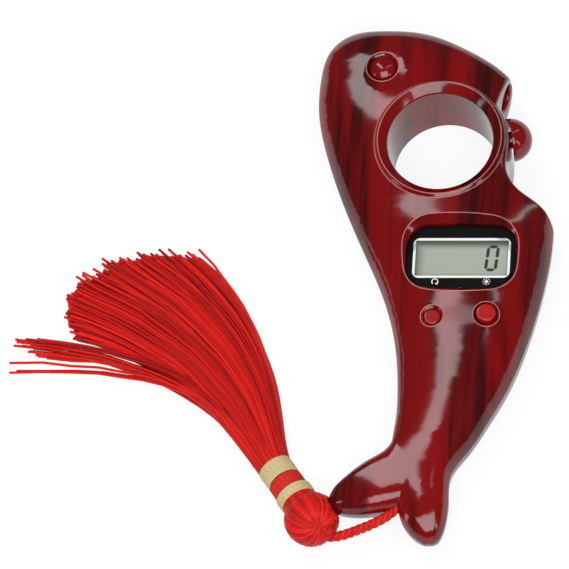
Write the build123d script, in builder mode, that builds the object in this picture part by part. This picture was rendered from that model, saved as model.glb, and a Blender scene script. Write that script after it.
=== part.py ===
from build123d import *
import math
import os
from typing import NamedTuple

os.makedirs("parts", exist_ok=True)

# Fish-shaped body, lying on its flat back with the head towards +Y
BODY_LENGTH = 108.4
BODY_WIDTH = 46.9
BODY_HEIGHT = 15.0
PARTING_HEIGHT = 7.0
GIRTH_BELOW_PARTING = 0.4
WALL = 1.6
EDGE_RADIUS = 0.9
TIP_FLAT = 0.7

# Finger ring in the head
BORE_RADIUS = 10.25
RING_WALL = 2.95
RING_TUBE_WALL = 1.8
LIP_RISE = 0.3
LIP_SLOPE = 1.75
LIP_DEPTH = 1.6
LIP_WIDTH = 2.45
LIP_FALL = 0.7
BORE_BREAK = 0.5
THROAT_TOP_ANGLE = 37.7
THROAT_CORNER_RADIUS = 1.5

# Left tail fluke
FLUKE_LENGTH = 20.8
FLUKE_WIDTH = 11.5
FLUKE_THICKNESS = 8.8
FLUKE_ANGLE = 205.7

# Display
LENS_WIDTH = 21.4
LENS_HEIGHT = 13.7
LENS_CORNER = 4.6
LENS_BOW = 0.45
LENS_THICKNESS = 1.0
LENS_EDGE = 0.25
LENS_DEPTH = 1.8
LENS_BEVEL_ANGLE = 42.0
LENS_LEDGE = 0.9
MASK_THICKNESS = 0.15
MASK_WINDOW_WIDTH = 17.8
MASK_WINDOW_HEIGHT = 7.5
FRAME_WALL = 1.1
FRAME_DEPTH = 0.85
LCD_THICKNESS = 2.0
LCD_MARGIN = 0.3
ZEBRA_LENGTH = 18.0
ZEBRA_WIDTH = 1.8
ZEBRA_HEIGHT = 1.5

# Circuit board and what sits on it
BOARD_WIDTH = 19.0
BOARD_THICKNESS = 1.0
BOARD_ABOVE_LENS = 10.0
BOARD_BELOW_BUTTONS = 5.1
BOARD_POST_RADIUS = 1.5
BOARD_POST_SPAN = 16.0
BOARD_POST_INSET = 1.8
BOARD_SCREW_RADIUS = 0.7
BOARD_SCREW_HEAD_RADIUS = 1.4
BOARD_SCREW_HEAD_HEIGHT = 0.8
BOARD_SCREW_REACH = 3.2
CHIP_RADIUS = 3.2
CHIP_HEIGHT = 1.1
CHIP_ROUNDING = 0.8
SWITCH_SIZE = 3.0
SWITCH_HEIGHT = 1.5
SWITCH_WELL_DEPTH = 0.8
PLUNGER_RADIUS = 0.9

# Two small push buttons below the display
RESET_RADIUS = 1.625
RESET_RIM_RADIUS = 2.2
RESET_SINK = 0.3
LAMP_RADIUS = 1.875
LAMP_RIM_RADIUS = 2.5
LAMP_STAND = 0.9
BUTTON_TRAVEL = 0.5
BUTTON_FLANGE_STEP = 0.75
BUTTON_FLANGE_HEIGHT = 0.6
BUTTON_STEM_RADIUS = 1.0
BUTTON_CROWN = 0.35

# Count ball on the ring's outer wall
COUNT_ANGLE = 15.5
COUNT_RADIUS = 4.25
COUNT_TRAVEL = 0.4
COUNT_STEM_RADIUS = 1.7
COUNT_FLANGE_RADIUS = 2.5
COUNT_FLANGE_HEIGHT = 0.4
COUNT_SKIN = 0.9
COUNT_CONTACT_HEIGHT = 0.3
COUNT_GAP = 0.15

# Torch lamp in the mouth
LED_RADIUS = 2.5
LED_LENGTH = 7.6
LED_FLAT = 0.3
LED_FLANGE_RADIUS = 2.9
LED_FLANGE_HEIGHT = 1.0
LED_RECESS = 1.3
LED_SOCKET_WALL = 1.1
LED_LEAD_RADIUS = 0.25
LED_LEAD_LENGTH = 4.0
LED_LEAD_PITCH = 2.54
MOUTH_LIP = 0.6

# Eye
EYE_RADIUS = 2.5
EYE_RIM_RADIUS = 3.15
EYE_DIMPLE_RADIUS = 4.55
EYE_DIMPLE_DEPTH = 0.9
EYE_SOCKET_DEPTH = 0.8
EYE_STAND = 0.15
EYE_FLOOR = 1.0

# Batteries, their contacts and the door in the back
CELL_RADIUS = 5.8
CELL_HEIGHT = 3.1
CELL_CAP_RADIUS = 4.6
CELL_CAP_HEIGHT = 0.3
CELL_GAP = 0.3
WELL_WALL = 1.2
CONTACT_WIDTH = 4.0
CONTACT_LENGTH = 7.0
CONTACT_SHEET = 0.25
BRIDGE_SHEET = 0.2
DOOR_THICKNESS = 1.4
DOOR_INSET = 0.15
DOOR_LEDGE = 1.5
DOOR_SCREW_END = 6.0
DOOR_SCREW_SET_BACK = 3.6
DOOR_SCREW_RADIUS = 0.8
DOOR_SCREW_HEAD_RADIUS = 1.6
DOOR_SCREW_HEAD_HEIGHT = 0.9
DOOR_SCREW_REACH = 3.8
DOOR_BOSS_RADIUS = 2.2
BRIDGE_WIDTH = 5.0
BRIDGE_LENGTH = 18.0
SCREW_POINT_ROOM = 0.5

# Screws that hold the two shells together
CASE_SCREW_RADIUS = 1.0
CASE_SCREW_HEAD_RADIUS = 1.8
CASE_SCREW_HEAD_HEIGHT = 1.4
CASE_SCREW_SEAT = 2.2
CASE_SCREW_REACH = 3.6
CASE_POST_RADIUS = 2.3

# Tassel on its cord
CORD_RADIUS = 0.875
KNOT_RADIUS = 1.5
KNOT_LENGTH = 2.6
KNOT_ROUNDING = 0.7
TASSEL_ANGLE = 124.8
TASSEL_DIP = 6.0
TASSEL_HEAD_RADIUS = 5.3
HEAD_OFFSET = (-15.9, -1.1)
HEAD_FIT = 0.3
HEAD_TO_BAND = 4.9
TASSEL_NECK_RADIUS = 2.7
BAND_LOWER_RADIUS = 3.7
BAND_UPPER_RADIUS = 3.35
BAND_LENGTHS = (2.3, 3.1, 3.9)
BAND_ROUNDING = 0.35
SKIRT_BACKING = 1.2
SKIRT_ROOT_RADIUS = 3.2
SKIRT_BEND_LENGTH = 18.5
SKIRT_BEND_ANGLE = 118.0
SKIRT_BEND_SPREAD = 2.9
SKIRT_BEND_HEIGHT = 3.2
SKIRT_TIP_LENGTH = 32.0
SKIRT_TIP_ANGLE = 141.0
SKIRT_TIP_SPREAD = 5.9
SKIRT_TIP_HEIGHT = 2.4
SKIRT_FLATTEN = 0.75
SKIRT_RAGGED = 3.5
STRAND_SIDE = 0.2
STRAND_STEP_ACROSS = 0.26
STRAND_STEP_UP = 0.36

# Clearances
SLIDE_FIT = 0.1
SEAT_FIT = 0.05
LOOSE_FIT = 0.2
BOARD_FIT = 0.4


def plan(across, along):
    """A place on the body, as shares of its half width and half length."""
    return Vector(across * BODY_WIDTH / 2, along * BODY_LENGTH / 2)


def at_height(place, height):
    """The same place, at a height above the table."""
    return Vector(place.X, place.Y, height)


# Places of the features on the body
bore_place = plan(0.062, 0.509)
eye_place = plan(-0.454, 0.812)
snout_place = plan(0.599, 0.808)
lens_place = plan(0.284, 0.061)
reset_place = plan(0.075, -0.179)
lamp_place = plan(0.518, -0.173)
battery_place = plan(0.284, 0.033)
cord_exit = plan(-0.177, -0.873)
fluke_root = plan(0.062, -0.672)
case_screw_places = [plan(-0.655, 0.546), plan(0.661, 0.273), plan(0.168, -0.469)]

# Heights of the stacked pieces, from the display down and from the back up
girth_height = PARTING_HEIGHT - GIRTH_BELOW_PARTING
lens_top = BODY_HEIGHT - LENS_DEPTH
lens_bottom = lens_top - LENS_THICKNESS
mask_bottom = lens_bottom - MASK_THICKNESS
frame_bottom = mask_bottom - FRAME_DEPTH
lcd_bottom = frame_bottom - LCD_THICKNESS
board_top = lcd_bottom - ZEBRA_HEIGHT
board_bottom = board_top - BOARD_THICKNESS
switch_top = board_top + SWITCH_HEIGHT
door_top = DOOR_INSET + DOOR_THICKNESS
bridge_top = door_top + BRIDGE_SHEET
cell_top = bridge_top + CELL_HEIGHT
door_screw_top = door_top + DOOR_SCREW_REACH


class Station(NamedTuple):
    """One cross section of the body, in shares of its half length, half width and height."""

    along: float
    left: float
    right: float
    top: float
    bottom: float


HEAD_TIP = -0.471
TAIL_TIP = 0.104
STATIONS = [
    Station(0.983, -0.761, -0.143, 0.710, 0.240),
    Station(0.958, -0.864, 0.053, 0.790, 0.147),
    Station(0.906, -0.953, 0.284, 0.870, 0.053),
    Station(0.823, -0.996, 0.557, 0.930, -0.020),
    Station(0.694, -1.000, 0.753, 0.980, -0.033),
    Station(0.509, -0.906, 0.906, 1.000, -0.033),
    Station(0.325, -0.753, 0.987, 1.000, -0.033),
    Station(0.140, -0.565, 0.996, 0.987, -0.033),
    Station(-0.044, -0.377, 0.936, 0.967, -0.033),
    Station(-0.229, -0.254, 0.834, 0.927, -0.033),
    Station(-0.413, -0.207, 0.684, 0.867, 0.000),
    Station(-0.542, -0.211, 0.535, 0.813, 0.080),
    Station(-0.644, -0.228, 0.399, 0.780, 0.133),
    Station(-0.732, -0.194, 0.271, 0.760, 0.160),
    Station(-0.838, -0.160, 0.258, 0.740, 0.180),
    Station(-0.915, -0.117, 0.245, 0.700, 0.213),
    Station(-0.972, -0.023, 0.211, 0.640, 0.280),
]
HOLLOW_STATIONS = STATIONS[2:15]


class FlukeStation(NamedTuple):
    """One cross section of the fluke, in shares of its length, width and thickness."""

    out: float
    upper: float
    lower: float
    half: float


FLUKE_TIP = 0.10
FLUKE_STATIONS = [
    FlukeStation(0.10, -0.750, 0.620, 0.450),
    FlukeStation(0.24, -0.487, 0.626, 0.485),
    FlukeStation(0.41, -0.373, 0.630, 0.490),
    FlukeStation(0.59, -0.330, 0.578, 0.455),
    FlukeStation(0.75, -0.248, 0.478, 0.400),
    FlukeStation(0.875, -0.157, 0.365, 0.330),
    FlukeStation(0.962, -0.035, 0.235, 0.210),
]

# How far the section's curve handles reach: flank upwards, left shoulder, right shoulder, underside
FLANK_HANDLE = 0.72
LEFT_SHOULDER = 0.27
RIGHT_SHOULDER = 0.18
UNDERSIDE = 0.15


def section(plane, left, right, top, bottom):
    """A soft-cornered cross section: steep flanks, two shoulders and a nearly flat underside."""
    middle = girth_height
    crest = (left + right) / 2
    flank_top = middle + FLANK_HANDLE * (top - middle)
    flank_bottom = middle - FLANK_HANDLE * (middle - bottom)
    left_half = crest - left
    right_half = right - crest
    left_shoulder = left + LEFT_SHOULDER * left_half
    right_shoulder = right - RIGHT_SHOULDER * right_half
    left_foot = left + UNDERSIDE * left_half
    right_foot = right - UNDERSIDE * right_half
    with BuildSketch(plane) as profile:
        with BuildLine():
            Bezier((left, middle), (left, flank_top), (left_shoulder, top), (crest, top))
            Bezier((crest, top), (right_shoulder, top), (right, flank_top), (right, middle))
            Bezier((right, middle), (right, flank_bottom), (right_foot, bottom), (crest, bottom))
            Bezier((crest, bottom), (left_foot, bottom), (left, flank_bottom), (left, middle))
        make_face()
    return profile.sketch


def body_section(station, inset):
    """The body's cross section at one station, drawn in by a wall."""
    plane = Plane(origin=at_height(plan(0, station.along), 0), x_dir=(1, 0, 0), z_dir=(0, -1, 0))
    left = plan(station.left, 0).X + inset
    right = plan(station.right, 0).X - inset
    top = station.top * BODY_HEIGHT - inset
    bottom = station.bottom * BODY_HEIGHT
    if inset > 0:
        bottom = max(bottom, 0) + inset
    return section(plane, left, right, top, bottom)


def tip_section(across, place):
    """The tiny flat at a rounded end, square to the end's direction."""
    plane = Plane(origin=at_height(place, 0), x_dir=across.x_dir, z_dir=across.z_dir)
    return section(plane, -TIP_FLAT, TIP_FLAT, place.Z + TIP_FLAT, place.Z - TIP_FLAT)


def fluke_section(station, grown):
    """The left fluke's cross section at one station, grown by a margin all round."""
    out = Vector(1, 0, 0).rotate(Axis.Z, FLUKE_ANGLE)
    origin = at_height(fluke_root, 0) + out * (station.out * FLUKE_LENGTH)
    plane = Plane(origin=origin, x_dir=out.rotate(Axis.Z, 90), z_dir=out)
    half = station.half * FLUKE_THICKNESS + grown
    upper = station.upper * FLUKE_WIDTH - grown
    lower = station.lower * FLUKE_WIDTH + grown
    return section(plane, upper, lower, girth_height + half, girth_height - half)


def bowed_outline(width, height):
    """A rounded rectangle with bowed sides, centred on its own origin."""
    across = width / 2
    up = height / 2
    side = across - LENS_BOW
    shoulder = up - LENS_BOW
    with BuildSketch() as outline:
        with BuildLine():
            ThreePointArc((-side, shoulder), (0, up), (side, shoulder))
            ThreePointArc((side, shoulder), (across, 0), (side, -shoulder))
            ThreePointArc((side, -shoulder), (0, -up), (-side, -shoulder))
            ThreePointArc((-side, -shoulder), (-across, 0), (-side, shoulder))
        make_face()
        fillet(outline.vertices(), LENS_CORNER + (width - LENS_WIDTH) / 2)
    return outline.sketch


# The throat: mouth face, ring wall and chest, seen from the front
throat_radius = BORE_RADIUS + RING_WALL
throat_start = bore_place + Vector(throat_radius, 0).rotate(Axis.Z, THROAT_TOP_ANGLE)
mouth_run = snout_place - throat_start
mouth_along = mouth_run.normalized()
mouth_axis = mouth_along.rotate(Axis.Z, -90)
throat_floor = Plane.XY.offset(-BODY_HEIGHT)
chest_points = [
    plan(0.620, 0.399),
    plan(0.700, 0.334),
    plan(0.850, 0.287),
    plan(0.958, 0.250),
    plan(1.005, 0.212),
    plan(1.060, 0.140),
]
chest_inward = Vector(-0.55, -0.83)
MOUTH_OVERRUN = 0.6


def throat_region(inset):
    """The region in front of the throat, grown into the body by an inset."""
    radius = throat_radius - inset
    top = snout_place + mouth_run * MOUTH_OVERRUN - mouth_axis * inset
    start = bore_place + Vector(radius, 0).rotate(Axis.Z, THROAT_TOP_ANGLE)
    middle = bore_place + Vector(radius, 0).rotate(Axis.Z, THROAT_TOP_ANGLE / 2)
    side = bore_place + Vector(radius, 0)
    chest = [point + chest_inward * inset for point in chest_points]
    clear = BODY_WIDTH
    with BuildSketch() as region:
        with BuildLine():
            Line(top, start)
            ThreePointArc(start, middle, side)
            Spline(side, *chest, tangents=[(0, -1), (0.5, -1)])
            Polyline(chest[-1], (clear, chest[-1].Y), (clear, top.Y), top)
        make_face()
    return region.sketch


# Outer form of the whole body, without holes
along_body = Plane(origin=(0, 0, 0), x_dir=(1, 0, 0), z_dir=(0, -1, 0))
head_tip = tip_section(along_body, at_height(plan(HEAD_TIP, 1), girth_height))
tail_tip = tip_section(along_body, at_height(plan(TAIL_TIP, -1), girth_height))
fluke_axis = Vector(1, 0, 0).rotate(Axis.Z, FLUKE_ANGLE)
fluke_side = fluke_axis.rotate(Axis.Z, 90)
fluke_end = at_height(fluke_root, girth_height) + fluke_axis * FLUKE_LENGTH
across_fluke = Plane(origin=(0, 0, 0), x_dir=fluke_side, z_dir=fluke_axis)
fluke_point = fluke_end + fluke_side * (FLUKE_TIP * FLUKE_WIDTH)
fluke_tip = tip_section(across_fluke, fluke_point)


def on_throat(face):
    """Whether a face is one of the upright walls of the throat."""
    return abs(face.normal_at().Z) < 0.001 and face.center().X > bore_place.X


with BuildPart() as outer:
    loft(sections=[head_tip, *[body_section(row, 0) for row in STATIONS], tail_tip])
    loft(sections=[*[fluke_section(row, 0) for row in FLUKE_STATIONS], fluke_tip])
    with BuildSketch(throat_floor):
        add(throat_region(0))
    extrude(amount=3 * BODY_HEIGHT, mode=Mode.SUBTRACT)
    throat_corner = outer.faces().filter_by(on_throat).edges().filter_by(GeomType.LINE).sort_by(Axis.Y)[-1]
    fillet(throat_corner, THROAT_CORNER_RADIUS)
    throat_edges = outer.faces().filter_by(on_throat).edges().filter_by(GeomType.LINE, reverse=True)
    fillet(throat_edges, EDGE_RADIUS)
    split(bisect_by=Plane.XY, keep=Keep.TOP)


def surface_height(place):
    """Height of the body's front surface above a place."""
    hits = outer.part.find_intersection_points(Axis(at_height(place, 0), (0, 0, 1)))
    return max(point.Z for point, normal in hits)


eye_height = surface_height(eye_place)
reset_height = surface_height(reset_place)
lamp_height = surface_height(lamp_place)

# Directions at the ring's outer wall and in the mouth
count_axis = Vector(1, 0, 0).rotate(Axis.Z, COUNT_ANGLE)
count_plane = Plane(
    origin=at_height(bore_place, PARTING_HEIGHT), x_dir=count_axis.rotate(Axis.Z, 90), z_dir=count_axis
)
pocket_floor = BORE_RADIUS + COUNT_SKIN
contact_top = pocket_floor + COUNT_CONTACT_HEIGHT
count_flange_bottom = contact_top + SEAT_FIT + COUNT_TRAVEL
count_flange_top = count_flange_bottom + COUNT_FLANGE_HEIGHT
pocket_top = count_flange_top + SEAT_FIT
MOUTH_PLACE = 0.56
mouth_place = at_height(throat_start + mouth_run * MOUTH_PLACE, PARTING_HEIGHT)
mouth_plane = Plane(origin=mouth_place, x_dir=mouth_along, z_dir=mouth_axis)
led_tip = -LED_RECESS
led_seat = led_tip - LED_LENGTH

# Battery well and door, along Y
well_width = 2 * (CELL_RADIUS + LOOSE_FIT)
well_length = 2 * (2 * CELL_RADIUS + LOOSE_FIT) + CELL_GAP
well_top = cell_top + LOOSE_FIT
door_width = well_width + 2 * DOOR_LEDGE
door_head_end = battery_place.Y + well_length / 2 + DOOR_LEDGE
door_tail_end = battery_place.Y - well_length / 2 - DOOR_SCREW_END
door_length = door_head_end - door_tail_end
door_place = Vector(battery_place.X, (door_head_end + door_tail_end) / 2)
door_screw_place = Vector(battery_place.X, door_tail_end + DOOR_SCREW_SET_BACK)
cell_offset = CELL_RADIUS + CELL_GAP / 2
cell_places = {
    "upper": battery_place + Vector(0, cell_offset),
    "lower": battery_place - Vector(0, cell_offset),
}

# Board outline limits and its posts
board_head_end = lens_place.Y + BOARD_ABOVE_LENS
board_tail_end = min(reset_place.Y, lamp_place.Y) - BOARD_BELOW_BUTTONS
board_place = Vector(lens_place.X, (board_head_end + board_tail_end) / 2)
board_length = board_head_end - board_tail_end
board_post_y = board_tail_end + BOARD_POST_INSET
board_post_places = [
    Vector(lens_place.X - BOARD_POST_SPAN / 2, board_post_y),
    Vector(lens_place.X + BOARD_POST_SPAN / 2, board_post_y),
]

# Cord from the knot inside the tail to the middle of the tassel's head
cord_steps = [
    (4.7, 4.9, 0.0),
    (2.6, 2.7, 0.0),
    (-0.9, -0.95, 0.0),
    (-3.9, -2.75, -0.15),
    (-7.4, -3.4, -1.9),
    (-11.0, -4.3, -2.9),
    (-14.6, -4.2, -2.6),
    (-17.6, -2.5, -2.0),
    (-19.4, 0.0, -1.9),
]
TURN_SHARE = 0.45
cord_points = [at_height(cord_exit, PARTING_HEIGHT) + Vector(*step) for step in cord_steps]
cord_runs = [b - a for a, b in zip(cord_points, cord_points[1:])]
cord_radii = []
for before, after in zip(cord_runs, cord_runs[1:]):
    half_turn = math.radians(before.get_angle(after) / 2)
    cord_radii.append(TURN_SHARE * min(before.length, after.length) / math.tan(half_turn))
hole_plane = Plane(origin=cord_points[1], z_dir=cord_runs[1])

# The hollow inside: the same form drawn in by the wall, less everything moulded into it
with BuildPart() as hollow:
    loft(sections=[body_section(row, WALL) for row in HOLLOW_STATIONS])
    with BuildSketch(throat_floor):
        add(throat_region(WALL))
    extrude(amount=3 * BODY_HEIGHT, mode=Mode.SUBTRACT)
    with BuildSketch(Plane.XY):
        with Locations(bore_place):
            Circle(BORE_RADIUS + RING_TUBE_WALL)
        with Locations(*case_screw_places):
            Circle(CASE_POST_RADIUS)
    extrude(amount=2 * BODY_HEIGHT, mode=Mode.SUBTRACT)
    with BuildSketch(mouth_plane.offset(led_seat)):
        Circle(LED_RADIUS + SLIDE_FIT + LED_SOCKET_WALL)
    extrude(amount=LED_LENGTH + LED_RECESS, mode=Mode.SUBTRACT)
    with BuildSketch(Plane.XY.offset(eye_height - EYE_DIMPLE_DEPTH - EYE_SOCKET_DEPTH - EYE_FLOOR)):
        with Locations(eye_place):
            Circle(EYE_RIM_RADIUS + EYE_FLOOR)
    extrude(amount=BODY_HEIGHT, mode=Mode.SUBTRACT)
    with BuildSketch(Plane.XY.offset(frame_bottom)):
        with Locations(lens_place):
            add(bowed_outline(LENS_WIDTH + 2 * FRAME_WALL, LENS_HEIGHT + 2 * FRAME_WALL))
    extrude(amount=BODY_HEIGHT, mode=Mode.SUBTRACT)
    with BuildSketch(Plane.XY.offset(board_top)):
        with Locations(*board_post_places):
            Circle(BOARD_POST_RADIUS)
    extrude(amount=BODY_HEIGHT, mode=Mode.SUBTRACT)
    with BuildSketch(Plane.XY):
        with Locations(battery_place):
            SlotOverall(well_length + 2 * WELL_WALL, well_width + 2 * WELL_WALL, rotation=90)
    extrude(amount=well_top, mode=Mode.SUBTRACT)
    with BuildSketch(Plane.XY):
        with Locations(door_place):
            SlotOverall(door_length + 2 * WELL_WALL, door_width + 2 * WELL_WALL, rotation=90)
    extrude(amount=door_top + WELL_WALL, mode=Mode.SUBTRACT)
    with BuildSketch(Plane.XY):
        with Locations(door_screw_place):
            Circle(DOOR_BOSS_RADIUS)
    extrude(amount=door_screw_top + SCREW_POINT_ROOM + WELL_WALL / 2, mode=Mode.SUBTRACT)

# Both shells in one piece: outer form less the hollow, with every opening cut
lip_top = BODY_HEIGHT + LIP_RISE
lip_foot = lip_top - LIP_DEPTH
lip_crest = BORE_RADIUS + LIP_SLOPE
lip_outside = BORE_RADIUS + LIP_WIDTH
ring_plane = Plane(origin=at_height(bore_place, 0), x_dir=(1, 0, 0), z_dir=(0, -1, 0))
ring_axis = Axis(at_height(bore_place, 0), (0, 0, 1))
dimple_sphere = (EYE_DIMPLE_RADIUS**2 + EYE_DIMPLE_DEPTH**2) / (2 * EYE_DIMPLE_DEPTH)
dimple_floor = eye_height - EYE_DIMPLE_DEPTH
socket_floor = dimple_floor - EYE_SOCKET_DEPTH
button_gap = LOOSE_FIT


class Button(NamedTuple):
    """A push button's place and sizes."""

    place: Vector
    surface: float
    radius: float
    rim: float
    top: float


reset = Button(reset_place, reset_height, RESET_RADIUS, RESET_RIM_RADIUS, reset_height - RESET_SINK)
lamp = Button(lamp_place, lamp_height, LAMP_RADIUS, LAMP_RIM_RADIUS, lamp_height + LAMP_STAND)


def flange_top(button):
    """Height of a button's retaining flange at rest."""
    return button.surface - WALL - button_gap


with BuildPart() as casing:
    add(outer.part)
    add(hollow.part, mode=Mode.SUBTRACT)
    # Finger bore with its raised lip
    with BuildSketch(Plane.XY.offset(lip_foot)):
        with Locations(bore_place):
            Circle(lip_crest)
    extrude(amount=BODY_HEIGHT, mode=Mode.SUBTRACT)
    with BuildSketch(Plane.XY):
        with Locations(bore_place):
            Circle(BORE_RADIUS)
    extrude(amount=BODY_HEIGHT, mode=Mode.SUBTRACT)
    with BuildSketch(ring_plane):
        with BuildLine():
            ThreePointArc(
                (BORE_RADIUS, lip_foot),
                (BORE_RADIUS + 0.4 * LIP_SLOPE, lip_top - 0.4 * LIP_DEPTH),
                (lip_crest, lip_top),
            )
            ThreePointArc(
                (lip_crest, lip_top),
                ((lip_crest + 2 * lip_outside) / 3, lip_top - LIP_FALL / 3),
                (lip_outside, lip_top - LIP_FALL),
            )
            Polyline(
                (lip_outside, lip_top - LIP_FALL),
                (lip_outside, lip_foot - WALL),
                (BORE_RADIUS, lip_foot - WALL),
                (BORE_RADIUS, lip_foot),
            )
        make_face()
    revolve(axis=ring_axis)
    with BuildSketch(Plane.XY):
        with Locations(bore_place):
            Circle(BORE_RADIUS + BORE_BREAK)
    extrude(amount=BORE_BREAK, taper=45, mode=Mode.SUBTRACT)
    # Display recess, lens seat and window
    with BuildSketch(Plane.XY.offset(lens_top)):
        with Locations(lens_place):
            add(bowed_outline(LENS_WIDTH + 2 * SEAT_FIT, LENS_HEIGHT + 2 * SEAT_FIT))
    extrude(amount=LENS_DEPTH + LIP_RISE, taper=-LENS_BEVEL_ANGLE, mode=Mode.SUBTRACT)
    with BuildSketch(Plane.XY.offset(mask_bottom)):
        with Locations(lens_place):
            add(bowed_outline(LENS_WIDTH + 2 * SEAT_FIT, LENS_HEIGHT + 2 * SEAT_FIT))
    extrude(amount=lens_top - mask_bottom, mode=Mode.SUBTRACT)
    with BuildSketch(Plane.XY.offset(frame_bottom)):
        with Locations(lens_place):
            add(bowed_outline(LENS_WIDTH - 2 * LENS_LEDGE, LENS_HEIGHT - 2 * LENS_LEDGE))
    extrude(amount=mask_bottom - frame_bottom, mode=Mode.SUBTRACT)
    # Button holes with bevelled rims, and flat seats for their flanges
    for button in (reset, lamp):
        with Locations(at_height(button.place, button.surface)):
            CounterSinkHole(
                button.radius + SLIDE_FIT, button.rim, depth=2 * WALL, counter_sink_angle=90
            )
        with BuildSketch(Plane.XY.offset(board_top)):
            with Locations(button.place):
                Circle(button.radius + BUTTON_FLANGE_STEP + LOOSE_FIT)
        extrude(amount=flange_top(button) + SEAT_FIT - board_top, mode=Mode.SUBTRACT)
    # Eye dimple and its socket
    with Locations(at_height(eye_place, dimple_floor + dimple_sphere)):
        Sphere(dimple_sphere, mode=Mode.SUBTRACT)
    with Locations(at_height(eye_place, dimple_floor)):
        CounterSinkHole(
            EYE_RADIUS + SLIDE_FIT, EYE_RIM_RADIUS, depth=EYE_SOCKET_DEPTH, counter_sink_angle=90
        )
    # Mouth with the lamp socket behind it
    with BuildSketch(mouth_plane.offset(led_seat)):
        Circle(LED_RADIUS + SLIDE_FIT)
    extrude(amount=LED_LENGTH + 2 * LED_RECESS, mode=Mode.SUBTRACT)
    mouth_rim = casing.edges().filter_by(lambda edge: edge.geom_type == GeomType.CIRCLE)
    mouth_rim = mouth_rim.sort_by_distance(mouth_place)[0:1]
    fillet(mouth_rim, MOUTH_LIP)
    with BuildSketch(mouth_plane.offset(led_seat - LED_FLANGE_HEIGHT - LOOSE_FIT)):
        Circle(LED_FLANGE_RADIUS + LOOSE_FIT)
    extrude(amount=LED_FLANGE_HEIGHT + LOOSE_FIT, mode=Mode.SUBTRACT)
    # Pocket and stem hole of the count ball in the ring's wall
    with BuildSketch(count_plane.offset(pocket_floor)):
        Circle(COUNT_FLANGE_RADIUS + LOOSE_FIT)
    extrude(amount=pocket_top - pocket_floor, mode=Mode.SUBTRACT)
    with BuildSketch(count_plane.offset(pocket_floor)):
        Circle(COUNT_STEM_RADIUS + SLIDE_FIT)
    extrude(amount=RING_WALL, mode=Mode.SUBTRACT)
    # Cord hole at the tail notch
    with BuildSketch(hole_plane.offset(-cord_runs[0].length / 2)):
        Circle(CORD_RADIUS + LOOSE_FIT)
    extrude(amount=2 * cord_runs[1].length, mode=Mode.SUBTRACT)
    # Case screw seats, clearance holes and pilot holes
    with BuildSketch(Plane.XY):
        with Locations(*case_screw_places):
            Circle(CASE_SCREW_HEAD_RADIUS + LOOSE_FIT)
    extrude(amount=CASE_SCREW_SEAT, mode=Mode.SUBTRACT)
    with BuildSketch(Plane.XY):
        with Locations(*case_screw_places):
            Circle(CASE_SCREW_RADIUS + SEAT_FIT)
    extrude(amount=PARTING_HEIGHT + CASE_SCREW_REACH + SCREW_POINT_ROOM, mode=Mode.SUBTRACT)
    with BuildSketch(Plane.XY.offset(board_top)):
        with Locations(*board_post_places):
            Circle(BOARD_SCREW_RADIUS + SEAT_FIT)
    extrude(amount=BOARD_SCREW_REACH + SCREW_POINT_ROOM, mode=Mode.SUBTRACT)
    # Battery well, door recess and door screw hole in the back
    with BuildSketch(Plane.XY):
        with Locations(battery_place):
            SlotOverall(well_length, well_width, rotation=90)
    extrude(amount=well_top, mode=Mode.SUBTRACT)
    with BuildSketch(Plane.XY):
        with Locations(door_place):
            SlotOverall(door_length, door_width, rotation=90)
    extrude(amount=door_top, mode=Mode.SUBTRACT)
    with BuildSketch(Plane.XY):
        with Locations(door_screw_place):
            Circle(DOOR_SCREW_RADIUS + SEAT_FIT)
    extrude(amount=door_screw_top + SCREW_POINT_ROOM, mode=Mode.SUBTRACT)

parting_plane = Plane.XY.offset(PARTING_HEIGHT)

with BuildPart() as front_shell:
    add(casing.part)
    split(bisect_by=parting_plane, keep=Keep.TOP)

with BuildPart() as rear_shell:
    add(casing.part)
    split(bisect_by=parting_plane, keep=Keep.BOTTOM)

# Display: lens, printed mask, liquid-crystal panel and its two contact strips
with BuildPart() as display_lens:
    with BuildSketch(Plane.XY.offset(lens_bottom)):
        with Locations(lens_place):
            add(bowed_outline(LENS_WIDTH, LENS_HEIGHT))
    extrude(amount=LENS_THICKNESS)
    fillet(display_lens.faces().sort_by(Axis.Z)[-1].edges(), LENS_EDGE)

with BuildPart() as lens_mask:
    with BuildSketch(Plane.XY.offset(mask_bottom)):
        with Locations(lens_place):
            add(bowed_outline(LENS_WIDTH, LENS_HEIGHT))
            Rectangle(MASK_WINDOW_WIDTH, MASK_WINDOW_HEIGHT, mode=Mode.SUBTRACT)
    extrude(amount=MASK_THICKNESS)

lcd_width = LENS_WIDTH - 2 * LCD_MARGIN
lcd_height = LENS_HEIGHT - 2 * LCD_MARGIN
with BuildPart() as lcd_panel:
    with BuildSketch(Plane.XY.offset(lcd_bottom)):
        with Locations(lens_place):
            Rectangle(lcd_width, lcd_height)
    extrude(amount=LCD_THICKNESS)

with BuildPart() as contact_strips:
    with BuildSketch(Plane.XY.offset(board_top)):
        with Locations(lens_place):
            with GridLocations(0, lcd_height - ZEBRA_WIDTH, 1, 2):
                Rectangle(ZEBRA_LENGTH, ZEBRA_WIDTH)
    extrude(amount=ZEBRA_HEIGHT)

# Circuit board: a strip that follows the inside of the shells, with its screws and chip
with BuildPart() as circuit_board:
    loft(sections=[body_section(row, WALL + BOARD_FIT) for row in HOLLOW_STATIONS])
    with BuildSketch(Plane.XY.offset(board_bottom)):
        with Locations(board_place):
            Rectangle(BOARD_WIDTH, board_length)
    extrude(amount=BOARD_THICKNESS, mode=Mode.INTERSECT)
    with BuildSketch(Plane.XY):
        add(throat_region(WALL + BOARD_FIT))
        with Locations(*case_screw_places):
            Circle(CASE_POST_RADIUS + BOARD_FIT)
        with Locations(*board_post_places):
            Circle(BOARD_SCREW_RADIUS + SLIDE_FIT)
    extrude(amount=BODY_HEIGHT, mode=Mode.SUBTRACT)

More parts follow.
